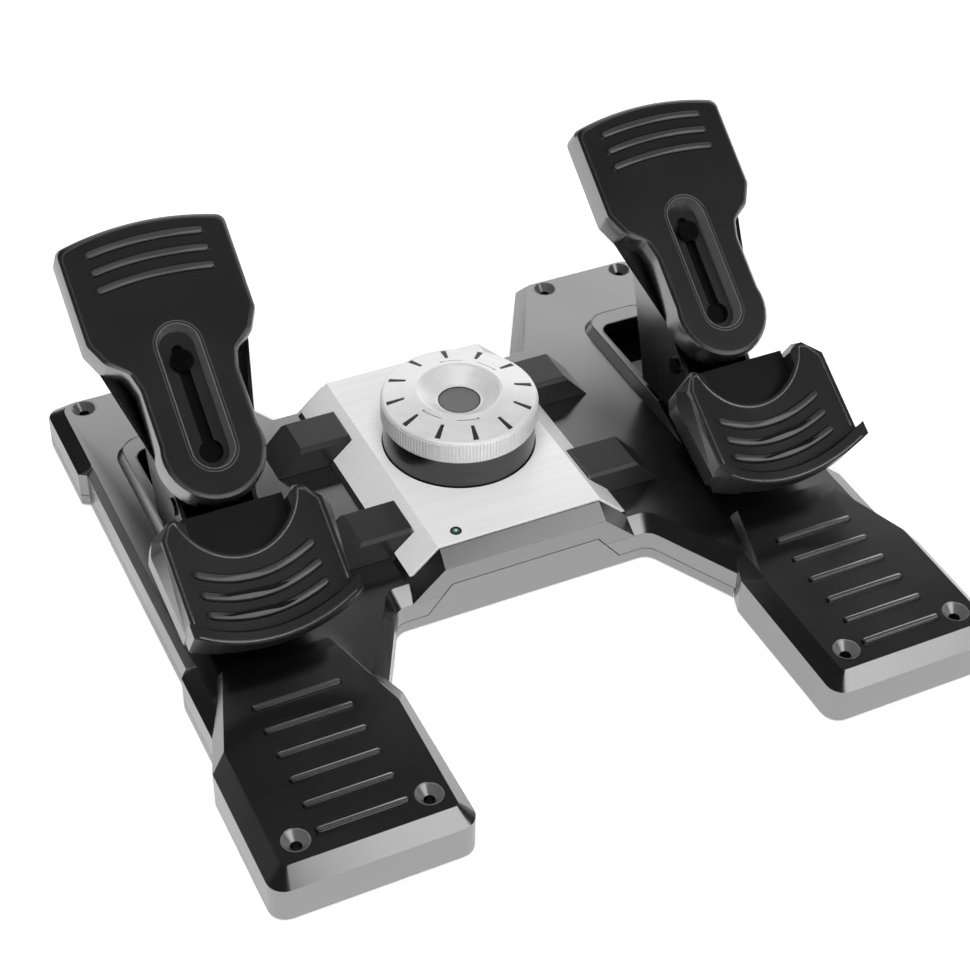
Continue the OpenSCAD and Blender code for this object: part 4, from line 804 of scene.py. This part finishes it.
# Base: level cuts through CAD nodes, just under the collars' top and the tray's seam, give its beads' paths
CUT_DISTANCE = 0.0001 * MM
COLLAR_CUT = 34.25
COLLAR_REACH = 60.0
COLLAR_BEAD_R = 0.5
SEAM_CUT = 8.0
SEAM_Z = 8.35
SEAM_NEAR_Y = -62.0
SEAM_BEAD_R = 0.3
SEAM_POINTS = 5


def cut_loops(name, z):
    """The loops where a level plane cuts a node's mesh, as lists of points in metres."""
    work = bmesh.new()
    work.from_mesh(nodes[name].data)
    work.transform(nodes[name].matrix_world)
    bmesh.ops.remove_doubles(work, verts=work.verts, dist=WELD_DISTANCE)
    parts = list(work.verts) + list(work.edges) + list(work.faces)
    cut = bmesh.ops.bisect_plane(work, geom=parts, plane_co=(0, 0, z * MM), plane_no=(0, 0, 1),
                                 dist=CUT_DISTANCE)
    edges = [part for part in cut["geom_cut"] if isinstance(part, bmesh.types.BMEdge)]
    waiting = set(edges)
    loops = []
    for edge in edges:
        if edge not in waiting:
            continue
        waiting.discard(edge)
        first, last = edge.verts
        loop = [first.co.copy()]
        while last != first:
            loop.append(last.co.copy())
            step = next((other for other in last.link_edges if other in waiting), None)
            if step is None:
                break
            waiting.discard(step)
            last = step.other_vert(last)
        loops.append(loop)
    work.free()
    return loops


def span(loop, axis):
    """How far a loop reaches along an axis, in millimetres."""
    places = [point[axis] for point in loop]
    return (max(places) - min(places)) / MM


def near_runs(outline):
    """The stretches of a closed outline that lie round the footrests."""
    start = next(k for k, point in enumerate(outline) if point.y > SEAM_NEAR_Y * MM)
    runs, run = [], []
    for point in outline[start:] + outline[:start + 1]:
        if point.y < SEAM_NEAR_Y * MM:
            run.append(Vector((point.x, point.y, SEAM_Z * MM)))
        elif run:
            runs.append(run)
            run = []
    return [run for run in runs if len(run) >= SEAM_POINTS]


def trim_base(looks):
    """Edge beads on the slot collars, in a lighter grey that paints their highlight, and a dark seam line
    round the footrests.
    """
    collars = [loop for loop in cut_loops("top_shell", COLLAR_CUT) if span(loop, 1) > COLLAR_REACH]
    bead("collar_edges", collars, COLLAR_BEAD_R, looks["rim_painted_highlight"], carrier("top_shell"), closed=True)
    outline = max(cut_loops("base_tray", SEAM_CUT), key=lambda loop: span(loop, 0))
    bead("footrest_seams", near_runs(outline), SEAM_BEAD_R, looks["shade_and_dark_parts_black"], carrier("base_tray"))


# Fixing holes on the right: place, height of the surface, and the node, where {} stands for the side
FIXING_HOLES = (
    (194.5, -183.8, 31.37, "footrest_{}"),
    (123.2, -183.8, 31.37, "footrest_{}"),
    (186.3, 189.6, 28.5, "top_shell"),
    (130.2, 189.6, 28.5, "top_shell"),
)
# Radius and height of the corners of the cone liner's section; the liner is a grey sheet over the
# countersink that paints its reflection
CONE_ROWS = ((7.55, 0.0), (3.35, -4.4), (3.05, -4.4), (7.0, 0.05))


def trim_holes(name, side, looks):
    """Smooth conical seats in the countersunk fixing holes of one side, a lighter grey that paints the
    reflection in the countersinks.
    """
    for number, (x, y, top, host) in enumerate(FIXING_HOLES):
        work = bmesh.new()
        loft(work, [circle(side * x, y, top + z, radius) for radius, z in CONE_ROWS], closed=True)
        finish_mesh(f"screw_seat_{name}_{number}", work, looks["wall_painted_reflection"], carrier(host.format(name)))


# Tension dial: its middle, radius and heights, and the inner and outer radius of its sloping face
DIAL_Y = 46.4
DIAL_R = 45.4
DIAL_TOP = 80.4
DIAL_RISE = 5.0
DIAL_EDGE_DROP = 0.8
DIAL_FACE = (25.0, 44.4)
DIAL_RIM_H = 13.4

# The knurl: teeth round the rim, places and rises within one tooth, and rows of height and depth share
KNURL_TEETH = 144
KNURL_SHARES = ((0.0, 0.0), (0.16, 1.0), (0.72, 1.0), (0.88, 0.0))
KNURL_DEPTH = 0.55
KNURL_SINK = 0.1
KNURL_LOW = DIAL_TOP - DIAL_RIM_H + 0.6
KNURL_ROWS = ((KNURL_LOW, 0.0), (KNURL_LOW + 0.6, 1.0), (DIAL_TOP - 1.2, 1.0), (DIAL_TOP - 0.5, 0.0))

# The marks: rows with a sink and a shrink, the first mark's turn, and a mark's ends and half widths
MARK_COUNT = 12
MARK_TURN = 18.1
MARK_ENDS = (32.6, 43.1)
MARK_HALVES = (0.94, 1.62)
MARK_ROWS = ((0.56, 0.0), (0.2, 0.06), (0.12, 0.3))
MARK_NARROWING = 0.8

# The printed arrows: first and last turn with the way they point, and the size of line and head
ARROW_ARCS = ((20.0, 44.0, 1), (62.0, 86.0, -1), (200.0, 224.0, 1), (242.0, 266.0, -1))
ARROW_R = 28.6
ARROW_STEPS = 12
ARROW_LINE_HALF = 0.22
ARROW_HEAD_HALF = 0.9
ARROW_HEAD_SHARE = 0.12
ARROW_SINKS = (0.02, -0.04)


def dial_face(radius, turn, sink):
    """A point on the dial's sloping face, sink below it, in metres."""
    inner, outer = DIAL_FACE
    slope = (DIAL_RISE - DIAL_EDGE_DROP) / (outer - inner)
    z = DIAL_TOP + DIAL_RISE - (radius - inner) * slope - sink
    return Vector((radius * math.cos(turn), DIAL_Y + radius * math.sin(turn), z)) * MM


def knurl_ring(z, share):
    """The rim's toothed outline at a height, its teeth at a share of their depth."""
    ring = []
    for tooth in range(KNURL_TEETH):
        for place, rise in KNURL_SHARES:
            turn = 2 * math.pi * (tooth + place) / KNURL_TEETH
            radius = DIAL_R - KNURL_SINK + KNURL_DEPTH * rise * share + KNURL_SINK * share
            ring.append(Vector((radius * math.cos(turn), DIAL_Y + radius * math.sin(turn), z)) * MM)
    return ring


def make_knurl(looks):
    """Fine upright teeth round the dial's rim."""
    work = bmesh.new()
    loft(work, [knurl_ring(z, share) for z, share in KNURL_ROWS])
    finish_mesh("dial_knurl", work, looks["dial_silver"], carrier("tension_dial"))


def make_marks(looks):
    """Dark inlays, filled nearly level, in the recesses of the dial."""
    work = bmesh.new()
    for k in range(MARK_COUNT):
        middle = math.radians(k * 360 / MARK_COUNT + MARK_TURN)
        rows = []
        for sink, shrink in MARK_ROWS:
            inner, outer = MARK_ENDS[0] + shrink, MARK_ENDS[1] - shrink
            thin, wide = [half - shrink * MARK_NARROWING for half in MARK_HALVES]
            spots = ((inner, -thin), (outer, -wide), (outer, wide), (inner, thin))
            rows.append([dial_face(r, middle + side / r, sink) for r, side in spots])
        loft(work, rows, capped=True)
    finish_mesh("dial_mark_inlays", work, looks["mark_dark"], carrier("tension_dial"))


def make_arrows(looks):
    """Plain printed arc arrows round the dial's inner ring."""
    work = bmesh.new()
    low, high = ARROW_R - ARROW_LINE_HALF, ARROW_R + ARROW_LINE_HALF
    for first, last, way in ARROW_ARCS:
        start, end = (first, last) if way < 0 else (last, first)
        turns = [math.radians(start + (end - start) * k / ARROW_STEPS) for k in range(ARROW_STEPS + 1)]
        tip = turns[-1] + (turns[-1] - turns[0]) * ARROW_HEAD_SHARE
        shapes = [((low, a), (high, a), (high, b), (low, b)) for a, b in zip(turns, turns[1:])]
        shapes.append(((ARROW_R - ARROW_HEAD_HALF, turns[-1]), (ARROW_R + ARROW_HEAD_HALF, turns[-1]),
                       (ARROW_R, tip)))
        for spots in shapes:
            loft(work, [[dial_face(r, t, sink) for r, t in spots] for sink in ARROW_SINKS], capped=True)
    finish_mesh("dial_arrows", work, looks["print_grey"], carrier("tension_dial"))


# Rings round the lamp, the drum and the cap: height, radius and thickness, and the small white dome in the
# middle of the lamp that paints the lens's glint
PLATE_TOP = 48.4
LAMP_AT = (-36.2, -27.5)
LAMP_BEZEL = (PLATE_TOP + 0.1, 2.75, 0.6)
GLINT_FOOT = PLATE_TOP + 0.3
GLINT_ROWS = ((0.8, 0.0), (0.8, 0.45), (0.5, 0.65))
GLINT_STEPS = 16
DRUM_FOOT = (PLATE_TOP + 0.3, 45.0, 0.45)
DRUM_STEPS = 96
CAP_RING = (77.3, 12.1, 0.4)


def make_rings(looks):
    """Bezel of the lamp and a small white dome in its middle that paints the lens's glint, foot bead of the
    drum and edge ring of the dial's cap.
    """
    base = carrier("centre_plate")
    z, radius, thick = LAMP_BEZEL
    bead("lamp_bezel", [circle(*LAMP_AT, z, radius)], thick, looks["shade_and_dark_parts_black"], base, closed=True)
    # A small white dome in the middle of the lamp: a painted glint on the lens
    glint = bmesh.new()
    loft(glint, [circle(*LAMP_AT, GLINT_FOOT + z, radius, GLINT_STEPS) for radius, z in GLINT_ROWS], capped=True)
    finish_mesh("lamp_painted_glint", glint, looks["painted_glint_white"], carrier("power_lens"), smooth=True)
    z, radius, thick = DRUM_FOOT
    drum_foot = circle(0.0, DIAL_Y, z, radius, DRUM_STEPS)
    bead("drum_foot", [drum_foot], thick, looks["shade_and_dark_parts_black"], base, closed=True)
    z, radius, thick = CAP_RING
    cap_ring = circle(0.0, DIAL_Y, z, radius)
    bead("cap_ring", [cap_ring], thick, looks["mark_dark"], carrier("tension_dial"), closed=True)


# Floor, in metres: its size and grey, and how its glow for the camera and mirrors fades in outwards
FLOOR_R = 12.0
FLOOR_STEPS = 96
FLOOR_GREY = 0.8
GLOW_PER_METRE = 0.1
GLOW_STOPS = [(0.05, 0.5), (0.3, 1.0)]


def floor_material():
    """A pale floor that looks white to the camera and to gloss, and still takes the shadow."""
    mat = bpy.data.materials.new("floor")
    tree = Tree(mat)
    diffuse = tree.add("ShaderNodeBsdfDiffuse")
    diffuse.inputs["Color"].default_value = (FLOOR_GREY, FLOOR_GREY, FLOOR_GREY, 1.0)
    glow = tree.add("ShaderNodeEmission")
    path = tree.add("ShaderNodeLightPath").outputs
    seen = tree.math("ADD", path["Is Camera Ray"], path["Is Glossy Ray"])
    seen = tree.math("ADD", seen, path["Is Transmission Ray"], clamp=True)
    far = tree.add("ShaderNodeVectorMath", operation="LENGTH")
    tree.link(tree.place("Object"), far.inputs[0])
    level = tree.ramp(tree.math("MULTIPLY", far.outputs["Value"], GLOW_PER_METRE), GLOW_STOPS)
    tree.link(tree.math("MULTIPLY", seen, level), glow.inputs["Strength"])
    both = tree.add("ShaderNodeAddShader")
    tree.link(diffuse.outputs[0], both.inputs[0])
    tree.link(glow.outputs[0], both.inputs[1])
    out = tree.add("ShaderNodeOutputMaterial")
    tree.link(both.outputs[0], out.inputs["Surface"])
    return mat


def make_floor():
    mesh = bpy.data.meshes.new("floor")
    work = bmesh.new()
    bmesh.ops.create_circle(work, cap_ends=True, segments=FLOOR_STEPS, radius=FLOOR_R)
    work.to_mesh(mesh)
    work.free()
    floor = bpy.data.objects.new("floor", mesh)
    bpy.context.scene.collection.objects.link(floor)
    mesh.materials.append(floor_material())


# World: the level at heights of the view's direction, from 0 at the horizon to 1 overhead
WORLD_STOPS = [(0.03, 1.0), (0.1, 0.22), (0.22, 0.03), (0.8, 0.03)]


def make_world():
    """A pale band round the horizon, darker overhead."""
    world = bpy.data.worlds.new("studio")
    bpy.context.scene.world = world
    tree = Tree(world)
    level = tree.ramp(tree.split(tree.place("Generated"))["Z"], WORLD_STOPS)
    light = tree.add("ShaderNodeBackground")
    tree.link(level, light.inputs["Color"])
    out = tree.add("ShaderNodeOutputWorld")
    tree.link(light.outputs[0], out.inputs["Surface"])


# Each lamp: direction from the middle of the object, distance, size across, size up, radiance, roll
LAMPS = {
    "key_front": ((0.38, -0.72, 0.58), 2.4, 1.9, 1.0, 2.05, 0.0),
    "back_right": ((0.484, 0.775, 0.392), 2.4, 3.0, 1.2, 1.5, 14.0),
    "overhead": ((-0.22, -0.34, 0.91), 2.2, 1.2, 1.2, 9.8, 0.0),
}
# Lamps that light surfaces without showing as a reflection
SOFT_LAMPS = {"overhead"}


def make_lamps():
    for name, (toward, distance, across, up, radiance, roll) in LAMPS.items():
        data = bpy.data.lights.new(name, "AREA")
        data.shape = "RECTANGLE"
        data.size, data.size_y = across, up
        data.energy = radiance * math.pi * across * up
        lamp = bpy.data.objects.new(name, data)
        lamp.visible_glossy = name not in SOFT_LAMPS
        bpy.context.scene.collection.objects.link(lamp)
        direction = Vector(toward).normalized()
        lamp.location = direction * distance
        lamp.rotation_mode = "QUATERNION"
        lean = Matrix.Rotation(math.radians(roll), 3, "Z").to_quaternion()
        lamp.rotation_quaternion = direction.to_track_quat("Z", "Y") @ lean


def main():
    make_camera()
    bpy.context.scene.view_settings.view_transform = "Standard"
    looks = make_materials()
    dress_nodes(looks)
    soften_nodes()
    for name, side in SIDES.items():
        trim_toe(name, side, looks)
        trim_cup(name, side, looks)
        trim_footrest(name, side, looks)
        trim_holes(name, side, looks)
    trim_base(looks)
    make_knurl(looks)
    make_marks(looks)
    make_arrows(looks)
    make_rings(looks)
    make_floor()
    make_world()
    make_lamps()


main()
